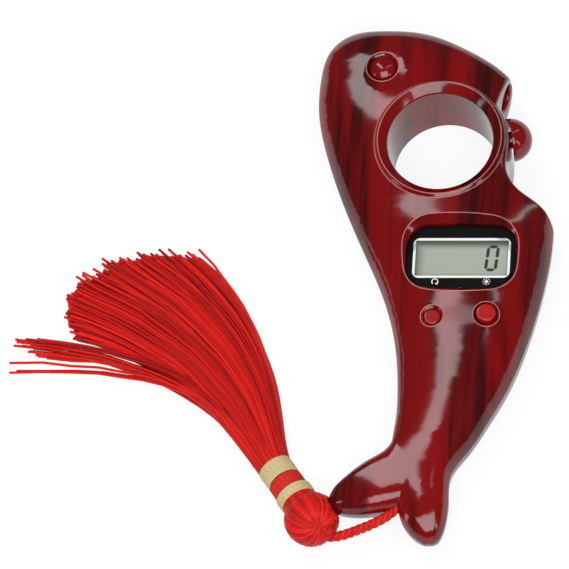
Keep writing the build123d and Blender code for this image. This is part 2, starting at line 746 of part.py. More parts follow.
with BuildPart() as board_screws:
    with BuildSketch(Plane.XY.offset(board_bottom - BOARD_SCREW_HEAD_HEIGHT)):
        with Locations(*board_post_places):
            Circle(BOARD_SCREW_HEAD_RADIUS)
    extrude(amount=BOARD_SCREW_HEAD_HEIGHT)
    with BuildSketch(Plane.XY.offset(board_bottom)):
        with Locations(*board_post_places):
            Circle(BOARD_SCREW_RADIUS)
    extrude(amount=BOARD_THICKNESS + BOARD_SCREW_REACH)

with BuildPart() as chip_blob:
    with BuildSketch(Plane.XY.offset(board_top)):
        with Locations(lens_place):
            Circle(CHIP_RADIUS)
    extrude(amount=CHIP_HEIGHT)
    fillet(chip_blob.faces().sort_by(Axis.Z)[-1].edges(), CHIP_ROUNDING)

# Tact switches on the board and the push buttons above them
plunger_top = switch_top + BUTTON_TRAVEL + SEAT_FIT
plunger_bottom = switch_top - SWITCH_WELL_DEPTH + BUTTON_TRAVEL + SEAT_FIT


def tact_switch(button):
    """A switch body under a button, with a well for its plunger."""
    with BuildPart() as body:
        with BuildSketch(Plane.XY.offset(board_top)):
            with Locations(button.place):
                Rectangle(SWITCH_SIZE, SWITCH_SIZE)
        extrude(amount=SWITCH_HEIGHT)
        with BuildSketch(Plane.XY.offset(switch_top)):
            with Locations(button.place):
                Circle(PLUNGER_RADIUS + SLIDE_FIT)
        extrude(amount=-SWITCH_WELL_DEPTH, mode=Mode.SUBTRACT)
    return body


def switch_plunger(button):
    """The switch's own plunger, which the button pushes down."""
    with BuildPart() as plunger:
        with BuildSketch(Plane.XY.offset(plunger_bottom)):
            with Locations(button.place):
                Circle(PLUNGER_RADIUS)
        extrude(amount=plunger_top - plunger_bottom)
    return plunger


def push_button(button):
    """A domed cap with a retaining flange and a stem down to the switch."""
    flange_bottom = flange_top(button) - BUTTON_FLANGE_HEIGHT
    with BuildPart() as cap:
        with BuildSketch(Plane.XY.offset(flange_bottom)):
            with Locations(button.place):
                Circle(button.radius)
        extrude(amount=button.top - flange_bottom)
        fillet(cap.faces().sort_by(Axis.Z)[-1].edges(), BUTTON_CROWN)
        with BuildSketch(Plane.XY.offset(flange_bottom)):
            with Locations(button.place):
                Circle(button.radius + BUTTON_FLANGE_STEP)
        extrude(amount=BUTTON_FLANGE_HEIGHT)
        with BuildSketch(Plane.XY.offset(plunger_top)):
            with Locations(button.place):
                Circle(BUTTON_STEM_RADIUS)
        extrude(amount=flange_bottom - plunger_top)
    return cap


# Count ball: a dome hollowed to the ring's wall, on a flanged stem
dome_centre = throat_radius + SLIDE_FIT
dome_clear = throat_radius + COUNT_TRAVEL + COUNT_GAP
with BuildPart() as count_ball:
    with Locations(count_plane.offset(dome_centre)):
        Sphere(COUNT_RADIUS)
    with BuildSketch(Plane.XY):
        with Locations(bore_place):
            Circle(dome_clear)
    extrude(amount=2 * BODY_HEIGHT, mode=Mode.SUBTRACT)
    with BuildSketch(count_plane.offset(count_flange_bottom)):
        Circle(COUNT_STEM_RADIUS)
    extrude(amount=dome_clear + COUNT_GAP - count_flange_bottom)
    with BuildSketch(count_plane.offset(count_flange_bottom)):
        Circle(COUNT_FLANGE_RADIUS)
    extrude(amount=COUNT_FLANGE_HEIGHT)

with BuildPart() as count_contact:
    with BuildSketch(count_plane.offset(pocket_floor)):
        Circle(COUNT_FLANGE_RADIUS)
    extrude(amount=COUNT_CONTACT_HEIGHT)

# Torch lamp behind the mouth
with BuildPart() as torch_led:
    with BuildSketch(mouth_plane.offset(led_seat)):
        Circle(LED_RADIUS)
    extrude(amount=LED_LENGTH)
    led_front = torch_led.faces().sort_by_distance(mouth_place)[0]
    fillet(led_front.edges(), LED_RADIUS - LED_FLAT)
    with BuildSketch(mouth_plane.offset(led_seat - LED_FLANGE_HEIGHT)):
        Circle(LED_FLANGE_RADIUS)
    extrude(amount=LED_FLANGE_HEIGHT)
    with BuildSketch(mouth_plane.offset(led_seat - LED_FLANGE_HEIGHT)):
        with GridLocations(LED_LEAD_PITCH, 0, 2, 1):
            Circle(LED_LEAD_RADIUS)
    extrude(amount=-LED_LEAD_LENGTH)

# Eye bead: a round peg under a low dome
eye_plane = Plane(origin=at_height(eye_place, 0), x_dir=(1, 0, 0), z_dir=(0, -1, 0))
eye_top = eye_height + EYE_STAND
eye_rise = eye_top - dimple_floor
eye_sphere = (EYE_RADIUS**2 + eye_rise**2) / (2 * eye_rise)
with BuildPart() as eye_bead:
    with BuildSketch(eye_plane):
        with BuildLine():
            RadiusArc((0, eye_top), (EYE_RADIUS, dimple_floor), eye_sphere)
            Polyline((EYE_RADIUS, dimple_floor), (EYE_RADIUS, socket_floor), (0, socket_floor), (0, eye_top))
        make_face()
    revolve(axis=Axis(at_height(eye_place, 0), (0, 0, 1)))


# Batteries and their contacts
def button_cell(place, cap_up):
    """A button cell: a can with a smaller cap on one side."""
    can_bottom = bridge_top if cap_up else bridge_top + CELL_CAP_HEIGHT
    cap_bottom = cell_top - CELL_CAP_HEIGHT if cap_up else bridge_top
    with BuildPart() as cell:
        with BuildSketch(Plane.XY.offset(can_bottom)):
            with Locations(place):
                Circle(CELL_RADIUS)
        extrude(amount=CELL_HEIGHT - CELL_CAP_HEIGHT)
        with BuildSketch(Plane.XY.offset(cap_bottom)):
            with Locations(place):
                Circle(CELL_CAP_RADIUS)
        extrude(amount=CELL_CAP_HEIGHT)
    return cell


def leaf_contact(place, heading):
    """A sprung strip from under the board down to the top of a cell."""
    edge = Vector(place.X - heading * CONTACT_WIDTH / 2, place.Y)
    plane = Plane(origin=edge, x_dir=(0, heading, 0), z_dir=(heading, 0, 0))
    reach = CONTACT_LENGTH / 2
    toe = reach - 2 * CONTACT_SHEET
    with BuildPart() as leaf:
        with BuildSketch(plane):
            with BuildLine():
                Polyline(
                    (-reach, board_bottom),
                    (0, board_bottom),
                    (toe, cell_top + CONTACT_SHEET),
                    (reach, cell_top + CONTACT_SHEET),
                    (reach, cell_top),
                    (toe, cell_top),
                    (0, board_bottom - CONTACT_SHEET),
                    (-reach, board_bottom - CONTACT_SHEET),
                    close=True,
                )
            make_face()
        extrude(amount=CONTACT_WIDTH)
    return leaf


with BuildPart() as contact_bridge:
    with BuildSketch(Plane.XY.offset(door_top)):
        with Locations(battery_place):
            Rectangle(BRIDGE_WIDTH, BRIDGE_LENGTH)
    extrude(amount=BRIDGE_SHEET)

# Battery door with its screw
with BuildPart() as battery_door:
    with BuildSketch(Plane.XY.offset(DOOR_INSET)):
        with Locations(door_place):
            SlotOverall(door_length - 2 * SLIDE_FIT, door_width - 2 * SLIDE_FIT, rotation=90)
    extrude(amount=DOOR_THICKNESS)
    with BuildSketch(Plane.XY.offset(DOOR_INSET)):
        with Locations(door_screw_place):
            Circle(DOOR_SCREW_HEAD_RADIUS + SLIDE_FIT)
    extrude(amount=DOOR_SCREW_HEAD_HEIGHT, mode=Mode.SUBTRACT)
    with BuildSketch(Plane.XY.offset(DOOR_INSET)):
        with Locations(door_screw_place):
            Circle(DOOR_SCREW_RADIUS + SEAT_FIT)
    extrude(amount=DOOR_THICKNESS, mode=Mode.SUBTRACT)

with BuildPart() as door_screw:
    with BuildSketch(Plane.XY.offset(DOOR_INSET)):
        with Locations(door_screw_place):
            Circle(DOOR_SCREW_HEAD_RADIUS)
    extrude(amount=DOOR_SCREW_HEAD_HEIGHT)
    with BuildSketch(Plane.XY.offset(DOOR_INSET + DOOR_SCREW_HEAD_HEIGHT)):
        with Locations(door_screw_place):
            Circle(DOOR_SCREW_RADIUS)
    extrude(amount=door_screw_top - DOOR_INSET - DOOR_SCREW_HEAD_HEIGHT)

with BuildPart() as case_screws:
    with BuildSketch(Plane.XY.offset(CASE_SCREW_SEAT - CASE_SCREW_HEAD_HEIGHT)):
        with Locations(*case_screw_places):
            Circle(CASE_SCREW_HEAD_RADIUS)
    extrude(amount=CASE_SCREW_HEAD_HEIGHT)
    with BuildSketch(Plane.XY.offset(CASE_SCREW_SEAT)):
        with Locations(*case_screw_places):
            Circle(CASE_SCREW_RADIUS)
    extrude(amount=PARTING_HEIGHT + CASE_SCREW_REACH - CASE_SCREW_SEAT)

# Cord with its knot inside the tail
with BuildPart() as tassel_cord:
    with BuildLine() as cord_route:
        FilletPolyline(*cord_points, radius=cord_radii)
    with BuildSketch(Plane(origin=cord_points[0], z_dir=cord_runs[0])):
        Circle(CORD_RADIUS)
    sweep()

with BuildPart() as cord_knot:
    with BuildSketch(Plane(origin=cord_points[0], z_dir=-cord_runs[0])):
        Circle(KNOT_RADIUS)
    extrude(amount=KNOT_LENGTH)
    fillet(cord_knot.edges(), KNOT_ROUNDING)

# Tassel head: a ball of folded strands on a bound neck, dented where the fluke lies against it
head_centre = at_height(cord_exit + Vector(*HEAD_OFFSET), TASSEL_HEAD_RADIUS)
tassel_side = Vector(0, -1, 0).rotate(Axis.Z, TASSEL_ANGLE)
tassel_axis = Vector(1, 0, 0).rotate(Axis.Y, TASSEL_DIP).rotate(Axis.Z, TASSEL_ANGLE)
tassel_up = tassel_side.cross(tassel_axis)
band_end = HEAD_TO_BAND + sum(BAND_LENGTHS)
collar_start = math.sqrt(TASSEL_HEAD_RADIUS**2 - BAND_LOWER_RADIUS**2) - BAND_ROUNDING


def along_tassel(distance):
    """The plane across the tassel's axis at a distance from the head's centre."""
    return Plane(origin=head_centre + tassel_axis * distance, x_dir=tassel_side, z_dir=tassel_axis)


with BuildPart() as tassel_head:
    with Locations(along_tassel(0)):
        Sphere(TASSEL_HEAD_RADIUS)
    with BuildSketch(along_tassel(collar_start)):
        Circle(BAND_LOWER_RADIUS)
    extrude(amount=HEAD_TO_BAND - collar_start)
    with BuildSketch(along_tassel(HEAD_TO_BAND)):
        Circle(TASSEL_NECK_RADIUS)
    extrude(amount=band_end - HEAD_TO_BAND)
    with BuildLine():
        FilletPolyline(*cord_points, radius=cord_radii)
    with BuildSketch(Plane(origin=cord_points[0], z_dir=cord_runs[0])):
        Circle(CORD_RADIUS + SEAT_FIT)
    sweep(mode=Mode.SUBTRACT)
    dent_tip = tip_section(across_fluke, fluke_point + fluke_axis * HEAD_FIT)
    loft(sections=[*[fluke_section(row, HEAD_FIT) for row in FLUKE_STATIONS], dent_tip], mode=Mode.SUBTRACT)


# Three wound bands around the neck
def tassel_band(number, radius):
    """One band around the neck, counted from the head."""
    with BuildPart() as band:
        with BuildSketch(along_tassel(HEAD_TO_BAND + sum(BAND_LENGTHS[:number]))):
            Circle(radius)
            Circle(TASSEL_NECK_RADIUS + SEAT_FIT, mode=Mode.SUBTRACT)
        extrude(amount=BAND_LENGTHS[number])
        outside = band.edges().filter_by(GeomType.CIRCLE).filter_by(lambda edge: edge.radius > radius - SEAT_FIT)
        fillet(outside, BAND_ROUNDING)
    return band


# Skirt: strands that fan out from a disc under the last band and bend on their way
skirt_start = band_end + SKIRT_BACKING / 2
skirt_root = along_tassel(skirt_start).origin
bend_way = Vector(1, 0, 0).rotate(Axis.Z, SKIRT_BEND_ANGLE)
bend_side = Vector(0, -1, 0).rotate(Axis.Z, SKIRT_BEND_ANGLE)
bend_centre = at_height(skirt_root + bend_way * SKIRT_BEND_LENGTH, SKIRT_BEND_HEIGHT)
tip_way = Vector(1, 0, 0).rotate(Axis.Z, SKIRT_TIP_ANGLE)
tip_side = Vector(0, -1, 0).rotate(Axis.Z, SKIRT_TIP_ANGLE)
tip_centre = at_height(bend_centre + tip_way * SKIRT_TIP_LENGTH, SKIRT_TIP_HEIGHT)
strand_limit = SKIRT_ROOT_RADIUS - STRAND_SIDE
columns = int(strand_limit / STRAND_STEP_ACROSS)
rows = int(strand_limit / STRAND_STEP_UP)
strands = []
for across_count in range(-columns, columns + 1):
    for up_count in range(-rows, rows + 1):
        across = across_count * STRAND_STEP_ACROSS
        up = up_count * STRAND_STEP_UP
        if math.hypot(across, up) > strand_limit:
            continue
        lift = Vector(0, 0, up * SKIRT_FLATTEN)
        root = skirt_root + tassel_side * across + tassel_up * up
        bend = bend_centre + bend_side * (across * SKIRT_BEND_SPREAD) + lift
        tip = tip_centre + tip_side * (across * SKIRT_TIP_SPREAD) + lift
        length = SKIRT_TIP_LENGTH + SKIRT_RAGGED * math.sin(len(strands))
        square = Plane(origin=root, x_dir=tassel_side, z_dir=tassel_axis) * Rectangle(STRAND_SIDE, STRAND_SIDE)
        first_run = extrude(square, amount=(bend - root).length, dir=(bend - root).normalized())
        second_run = extrude(Pos(*(bend - root)) * square, amount=length, dir=(tip - bend).normalized())
        strands.append(first_run + second_run)

with BuildPart() as tassel_skirt:
    with BuildSketch(along_tassel(band_end)):
        Circle(SKIRT_ROOT_RADIUS)
    extrude(amount=SKIRT_BACKING)
    add(strands)

# Every piece under its own name
pieces = {
    "front_shell": front_shell,
    "rear_shell": rear_shell,
    "display_lens": display_lens,
    "lens_mask": lens_mask,
    "lcd_panel": lcd_panel,
    "contact_strips": contact_strips,
    "circuit_board": circuit_board,
    "board_screws": board_screws,
    "chip_blob": chip_blob,
    "reset_switch": tact_switch(reset),
    "reset_plunger": switch_plunger(reset),
    "reset_button": push_button(reset),
    "lamp_switch": tact_switch(lamp),
    "lamp_plunger": switch_plunger(lamp),
    "lamp_button": push_button(lamp),
    "count_ball": count_ball,
    "count_contact": count_contact,
    "torch_led": torch_led,
    "eye_bead": eye_bead,
    "button_cell_upper": button_cell(cell_places["upper"], True),
    "button_cell_lower": button_cell(cell_places["lower"], False),
    "contact_positive": leaf_contact(cell_places["lower"], -1),
    "contact_negative": leaf_contact(cell_places["upper"], 1),
    "contact_bridge": contact_bridge,
    "battery_door": battery_door,
    "door_screw": door_screw,
    "case_screws": case_screws,
    "tassel_cord": tassel_cord,
    "cord_knot": cord_knot,
    "tassel_head": tassel_head,
    "tassel_band_lower": tassel_band(0, BAND_LOWER_RADIUS),
    "tassel_band_middle": tassel_band(1, BAND_UPPER_RADIUS),
    "tassel_band_upper": tassel_band(2, BAND_UPPER_RADIUS),
    "tassel_skirt": tassel_skirt,
}
for name, piece in pieces.items():
    piece.part.label = name
    export_step(piece.part, f"parts/{name}.step")

cord_length = sum(edge.length for edge in cord_route.edges())
print("Cord radii:", [round(radius, 1) for radius in cord_radii])
print("Cord volume:", round(tassel_cord.part.volume, 2))
print("Cord section times length:", round(math.pi * CORD_RADIUS**2 * cord_length, 2))
print("Strands in the skirt:", len(strands))
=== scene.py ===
"""A hand-held digital counter: a glossy moulded fish with a display, buttons, a torch and a silky tassel."""
import logging
import math
from collections.abc import Iterable, Mapping, Sequence
from dataclasses import dataclass
from enum import Enum
from functools import cached_property

import bmesh
import bpy
import numpy as np
from mathutils import Matrix, Vector
from mathutils.bvhtree import BVHTree


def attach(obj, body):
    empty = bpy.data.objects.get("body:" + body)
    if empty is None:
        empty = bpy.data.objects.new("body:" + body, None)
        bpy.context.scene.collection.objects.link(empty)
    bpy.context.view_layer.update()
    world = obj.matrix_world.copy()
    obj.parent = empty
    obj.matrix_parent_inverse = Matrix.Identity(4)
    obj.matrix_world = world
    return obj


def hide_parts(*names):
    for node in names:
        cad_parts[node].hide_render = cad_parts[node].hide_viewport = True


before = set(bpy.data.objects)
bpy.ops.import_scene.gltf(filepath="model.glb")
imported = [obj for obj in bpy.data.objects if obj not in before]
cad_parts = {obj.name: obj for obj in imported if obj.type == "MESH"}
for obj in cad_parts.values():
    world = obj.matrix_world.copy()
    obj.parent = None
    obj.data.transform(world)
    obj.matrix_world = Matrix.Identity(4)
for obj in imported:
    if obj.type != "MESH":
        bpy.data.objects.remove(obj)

LOG = logging.getLogger("counter")
MM = 0.001
TINY = 1e-12
SLACK_POWER = 1.5
IMAGE_PIXELS = 569

Colour = tuple[float, float, float]
Place = tuple[float, float, float]
Spot = tuple[float, float]


def tone(red: int, green: int, blue: int) -> Colour:
    """A colour as a shader takes it, from the 0 to 255 values seen on a screen."""
    shares = (red / 255, green / 255, blue / 255)
    return tuple(((s + 0.055) / 1.055) ** 2.4 if s > 10 / 255 else s / 12.92 for s in shares)


def scaled(colour: Colour, share: float) -> Colour:
    """A colour made darker or lighter, up to white."""
    return tuple(min(1.0, part * share) for part in colour)


def unit(vector: Sequence[float]) -> np.ndarray:
    """The vector at a length of one."""
    array = np.asarray(vector, float)
    return array / np.linalg.norm(array)


def lengths(path: np.ndarray) -> np.ndarray:
    """The length along a line at each of its points."""
    return np.concatenate(([0], np.cumsum(np.linalg.norm(np.diff(path, axis=0), axis=1))))


class Socket:
    """A node's output that takes part in Python expressions on values."""

    def __init__(self, graph: "Graph", link: bpy.types.NodeSocket) -> None:
        self.graph = graph
        self.link = link

    def math(self, operation: str, *values: "Socket | float") -> "Socket":
        """One Math node on the given values."""
        return self.graph.node("ShaderNodeMath", {"operation": operation}, dict(enumerate(values)))

    def __add__(self, other: "Socket | float") -> "Socket":
        """Sum."""
        return self.math("ADD", self, other)

    def __radd__(self, other: float) -> "Socket":
        """Sum with a number first."""
        return self.math("ADD", other, self)

    def __sub__(self, other: "Socket | float") -> "Socket":
        """Difference."""
        return self.math("SUBTRACT", self, other)

    def __rsub__(self, other: float) -> "Socket":
        """Difference from a number."""
        return self.math("SUBTRACT", other, self)

    def __mul__(self, other: "Socket | float") -> "Socket":
        """Product."""
        return self.math("MULTIPLY", self, other)

    def __rmul__(self, other: float) -> "Socket":
        """Product with a number first."""
        return self.math("MULTIPLY", other, self)

    def __abs__(self) -> "Socket":
        """Size without sign."""
        return self.math("ABSOLUTE", self)

    def most(self, other: "Socket | float") -> "Socket":
        """The larger of two values."""
        return self.math("MAXIMUM", self, other)

    def least(self, other: "Socket | float") -> "Socket":
        """The smaller of two values."""
        return self.math("MINIMUM", self, other)

    def wave(self) -> "Socket":
        """Sine of the value."""
        return self.math("SINE", self)

    def root(self) -> "Socket":
        """Square root of the value."""
        return self.math("SQRT", self)

    def step(self, start: float, end: float) -> "Socket":
        """A soft step from 0 at start to 1 at end."""
        settings = {"interpolation_type": "SMOOTHSTEP"}
        return self.graph.node("ShaderNodeMapRange", settings, {0: self, 1: start, 2: end, 3: 0.0, 4: 1.0})


class Graph:
    """A node tree that is written as expressions."""

    def __init__(self, tree: bpy.types.NodeTree) -> None:
        self.tree = tree

    def node(
        self,
        kind: str,
        settings: Mapping[str, object] | None = None,
        inputs: Mapping[str | int, object] | None = None,
        output: str | int = 0,
    ) -> Socket:
        """Adds a node.

        Args:
            kind: the node's type.
            settings: its own properties, which are set first.
            inputs: values or links for its sockets, by name or place.
            output: which of its outputs is wanted.

        Returns:
            That output.
        """
        node = self.tree.nodes.new(kind)
        for name, value in (settings or {}).items():
            setattr(node, name, value)
        for name, value in (inputs or {}).items():
            self.feed(node.inputs[name], value)
        return Socket(self, node.outputs[output])

    def feed(self, socket: bpy.types.NodeSocket, value: object) -> None:
        """Links a socket to an output, or sets its own value.

        Args:
            socket: the socket.
            value: an output, or a number, colour, vector or material.
        """
        if isinstance(value, Socket):
            self.tree.links.new(value.link, socket)
        elif isinstance(value, tuple) and len(value) == 3 and socket.type == "RGBA":
            socket.default_value = (*value, 1)
        else:
            socket.default_value = value

    def vector(self, operation: str, *values: object) -> Socket:
        """One Vector Math node."""
        return self.node("ShaderNodeVectorMath", {"operation": operation}, dict(enumerate(values)))

    def mix(self, share: Socket | float, first: object, second: object) -> Socket:
        """A colour between two colours."""
        return self.node("ShaderNodeMix", {"data_type": "RGBA"}, {0: share, 6: first, 7: second}, 2)


class Shader(Graph):
    """A material whose surface is one principled shader."""

    BEVEL_SAMPLES = 6

    def __init__(self, name: str) -> None:
        self.material = bpy.data.materials.new(name)
        self.material.use_nodes = True
        super().__init__(self.material.node_tree)
        self.surface = self.tree.nodes["Principled BSDF"]
        self.place = self.node("ShaderNodeTexCoord", output="Object")

    @property
    def lit(self) -> Socket:
        """The principled shader's own output."""
        return Socket(self, self.surface.outputs[0])

    def stretched(self, sizes: Sequence[float], turn: float = 0.0) -> Socket:
        """Object coordinates counted in steps.

        Args:
            sizes: a step's size along each axis, in metres.
            turn: how far they are turned about the upright axis.

        Returns:
            The coordinates.
        """
        turned = self.place
        if turn:
            turned = self.node("ShaderNodeMapping", {}, {"Vector": self.place, "Rotation": (0, 0, turn)})
        return self.vector("MULTIPLY", turned, tuple(1 / size for size in sizes))

    def noise(
        self, sizes: Sequence[float], detail: float = 2.0, warp: float = 0.0, turn: float = 0.0
    ) -> Socket:
        """Smooth random values whose blotches have the given sizes in metres."""
        inputs = {"Vector": self.stretched(sizes, turn), "Scale": 1.0, "Detail": detail, "Distortion": warp}
        return self.node("ShaderNodeTexNoise", {}, inputs)

    def axes(self, place: Socket) -> list[Socket]:
        """The three parts of a place."""
        first = self.node("ShaderNodeSeparateXYZ", {}, {0: place})
        return [Socket(self, out) for out in first.link.node.outputs]

    def carried(self, name: str) -> Socket:
        """A value that the mesh carries by name."""
        return self.node("ShaderNodeAttribute", {"attribute_name": name}, output="Fac")

    def bump(self, height: Socket, depth: float, rounding: float = 0.0) -> None:
        """Lets a height in 0 to 1 shape the shading, over a depth in metres.

        Args:
            height: the height.
            depth: what a height of 1 stands for, in metres.
            rounding: radius that sharp edges seem to have, in metres.
        """
        inputs = {"Height": height, "Distance": depth, "Strength": 1.0}
        if rounding:
            settings = {"samples": self.BEVEL_SAMPLES}
            inputs["Normal"] = self.node("ShaderNodeBevel", settings, {"Radius": rounding})
        self.dress(Normal=self.node("ShaderNodeBump", {}, inputs))

    def dress(self, **values: object) -> None:
        """Feeds the principled shader's sockets, named with underscores for spaces."""
        for name, value in values.items():
            self.feed(self.surface.inputs[name.replace("_", " ")], value)

    def close(self, surface: Socket) -> None:
        """Makes another shader the material's surface."""
        self.feed(self.tree.nodes["Material Output"].inputs["Surface"], surface)

    def blend(self, share: Socket, first: Socket, second: Socket) -> Socket:
        """A shader between two shaders."""
        return self.node("ShaderNodeMixShader", {}, {0: share, 1: first, 2: second})


@dataclass(frozen=True)
class Streaks:
    """One layer of grain: how large its blotches are, and which of the noise's values show."""

    sizes: Place
    detail: float
    warp: float
    turn: float
    start: float
    end: float

    def drawn(self, shader: Shader) -> Socket:
        """The layer as values from 0 to 1."""
        return shader.noise(self.sizes, self.detail, self.warp, self.turn).step(self.start, self.end)


@dataclass(frozen=True)
class MouldedGloss:
    """Lacquered moulding with dark grain that runs along the body."""

    name: str
    colour: Colour
    grain: Colour
    grain_share: float = 0.95
    roughness: float = 0.1
    rounding: float = 0.2 * MM
    parting: float | None = None

    BROAD = Streaks((6.5 * MM, 80 * MM, 22 * MM), 2.5, 0.45, -0.06, 0.45, 0.59)
    FINE = Streaks((1.6 * MM, 45 * MM, 9 * MM), 3.0, 0.4, 0.05, 0.38, 0.66)
    THIN = Streaks((0.8 * MM, 55 * MM, 7 * MM), 2.0, 0.25, -0.03, 0.60, 0.70)
    HUE = Streaks((9 * MM, 30 * MM, 11 * MM), 1.0, 0.0, 0.0, 0.35, 0.7)
    THIN_SHARE = 0.35
    LIGHTER = 1.2
    LINE = (0.1 * MM, 0.22 * MM)
    LINE_SHARE = 0.92
    LINE_COLOUR = tone(16, 2, 3)
    CLOUD = (3 * MM,) * 3
    CLOUD_SHARE = 0.04
    RIPPLE = (2.4 * MM,) * 3
    RIPPLE_DEPTH = 0.002 * MM
    IOR = 1.5

    def material(self) -> bpy.types.Material:
        """Builds the finish."""
        shader = Shader(self.name)
        bands = self.BROAD.drawn(shader) * (0.5 + 0.5 * self.FINE.drawn(shader))
        dark = bands.most(self.THIN.drawn(shader) * self.THIN_SHARE) * self.grain_share
        colour = shader.mix(self.HUE.drawn(shader), self.colour, scaled(self.colour, self.LIGHTER))
        colour = shader.mix(dark, colour, self.grain)
        if self.parting is not None:
            height = shader.axes(shader.place)[2]
            line = 1 - abs(height - self.parting).step(*self.LINE)
            colour = shader.mix(line * self.LINE_SHARE, colour, self.LINE_COLOUR)
        cloud = shader.noise(self.CLOUD)
        shader.dress(Base_Color=colour, Roughness=self.roughness + self.CLOUD_SHARE * cloud, IOR=self.IOR)
        shader.bump(shader.noise(self.RIPPLE, 1.0), self.RIPPLE_DEPTH, self.rounding)
        return shader.material


@dataclass(frozen=True)
class PlainPlastic:
    """Moulded plastic or rubber with a fine grain."""

    name: str
    colour: Colour
    roughness: float
    grain: float
    shade: float = 0.25

    CLOUD_SIZE = 4
    SPECK_SHARE = 0.12
    SPECK_DEPTH = 0.06

    def material(self) -> bpy.types.Material:
        """Builds the finish."""
        shader = Shader(self.name)
        cloud = shader.noise((self.grain * self.CLOUD_SIZE,) * 3, 3.0)
        speck = shader.noise((self.grain,) * 3)
        colour = shader.mix(cloud, scaled(self.colour, 1 - self.shade), self.colour)
        shader.dress(Base_Color=colour, Roughness=self.roughness + self.SPECK_SHARE * speck)
        shader.bump(speck, self.grain * self.SPECK_DEPTH)
        return shader.material


@dataclass(frozen=True)
class BrushedMetal:
    """Drawn or rolled metal with fine scratches."""

    name: str
    colour: Colour
    roughness: float = 0.28

    SCRATCH = (0.08 * MM, 2.5 * MM, 0.3 * MM)
    SCRATCH_SHARE = 0.22
    SCRATCH_DEPTH = 0.006 * MM
    STAIN = Streaks((1.5 * MM,) * 3, 2.0, 0.0, 0.0, 0.45, 0.75)
    STAIN_SHARE = 0.5
    STAIN_TONE = 0.6

    def material(self) -> bpy.types.Material:
        """Builds the finish."""
        shader = Shader(self.name)
        scratches = shader.noise(self.SCRATCH, 3.0)
        stain = self.STAIN.drawn(shader) * self.STAIN_SHARE
        colour = shader.mix(stain, self.colour, scaled(self.colour, self.STAIN_TONE))
        roughness = self.roughness + self.SCRATCH_SHARE * scratches
        shader.dress(Base_Color=colour, Metallic=1.0, Roughness=roughness)
        shader.bump(scratches, self.SCRATCH_DEPTH)
        return shader.material


@dataclass(frozen=True)
class BoardLaminate:
    """Green circuit board with faint tracks under its lacquer."""

    name: str
    colour: Colour
    track: Colour

    PITCH = (4 * MM,) * 3
    WEAVE = (0.25 * MM,) * 3
    WEAVE_DEPTH = 0.01 * MM
    WEAVE_SHARE = 0.15
    ROUGHNESS = 0.3
    TRACKS = {"Scale": 1.0, "Mortar Size": 0.05, "Brick Width": 0.9, "Row Height": 0.4}

    def material(self) -> bpy.types.Material:
        """Builds the finish."""
        shader = Shader(self.name)
        inputs = {"Vector": shader.stretched(self.PITCH), "Mortar": self.track, **self.TRACKS}
        inputs |= {"Color1": self.colour, "Color2": self.colour}
        tracks = shader.node("ShaderNodeTexBrick", {"offset": 0.5}, inputs)
        weave = shader.noise(self.WEAVE)
        shader.dress(Base_Color=tracks, Roughness=self.ROUGHNESS + self.WEAVE_SHARE * weave)
        shader.bump(weave, self.WEAVE_DEPTH)
        return shader.material


@dataclass(frozen=True)
class PrintedFilm:
    """Black film with a pale frame printed round its window."""

    name: str
    centre: Spot
    window: Spot
    corner: float
    line: float
    paper: Colour
    ink: Colour

    SOFT_EDGE = 0.06
    SPECK = (0.12 * MM,) * 3
    SPECK_TONE = 0.6
    SPECK_SHARE = 0.15
    ROUGHNESS = 0.4
    GLOSS = 0.1

    def material(self) -> bpy.types.Material:
        """Builds the finish from the distance to the window's rounded edge."""
        shader = Shader(self.name)
        across, along, _ = shader.axes(shader.place)
        side = abs(across - self.centre[0]) - (self.window[0] / 2 - self.corner)
        end = abs(along - self.centre[1]) - (self.window[1] / 2 - self.corner)
        outside = (side.most(0.0) * side.most(0.0) + end.most(0.0) * end.most(0.0)).root()
        edge = outside + side.most(end).least(0.0) - self.corner
        drawn = 1 - edge.step(self.line * (1 - self.SOFT_EDGE), self.line * (1 + self.SOFT_EDGE))
        speck = shader.noise(self.SPECK)
        ground = shader.mix(speck, self.ink, scaled(self.ink, self.SPECK_TONE))
        colour = shader.mix(drawn, ground, self.paper)
        roughness = self.ROUGHNESS + self.SPECK_SHARE * speck
        shader.dress(Base_Color=colour, Roughness=roughness, Specular_IOR_Level=self.GLOSS)
        return shader.material


@dataclass(frozen=True)
class LiquidCrystal:
    """Grey-green display glass, with painted shade that darkens it towards its left side and its top."""

    name: str
    colour: Colour
    edge: Colour
    centre: Spot
    half: Spot

    LEFT_REACH = 2.2 * MM
    LEFT_SHARE = 0.6
    TOP_REACH = 1.7 * MM
    TOP_SHARE = 0.85
    GRAIN = (0.2 * MM,) * 3
    GRAIN_SHARE = 0.08
    ROUGHNESS = 0.32
    ROUGHNESS_SHARE = 0.1

    def material(self) -> bpy.types.Material:
        """Builds the finish."""
        shader = Shader(self.name)
        across, along, _ = shader.axes(shader.place)
        # painted shade: the glass turns to the darker edge colour along the window's left side and top
        left = 1 - (across - (self.centre[0] - self.half[0])).step(0.0, self.LEFT_REACH)
        top = 1 - ((self.centre[1] + self.half[1]) - along).step(0.0, self.TOP_REACH)
        grain = shader.noise(self.GRAIN)
        shade = (left * self.LEFT_SHARE).most(top * self.TOP_SHARE) + self.GRAIN_SHARE * grain
        roughness = self.ROUGHNESS + self.ROUGHNESS_SHARE * grain
        shader.dress(Base_Color=shader.mix(shade, self.colour, self.edge), Roughness=roughness)
        return shader.material


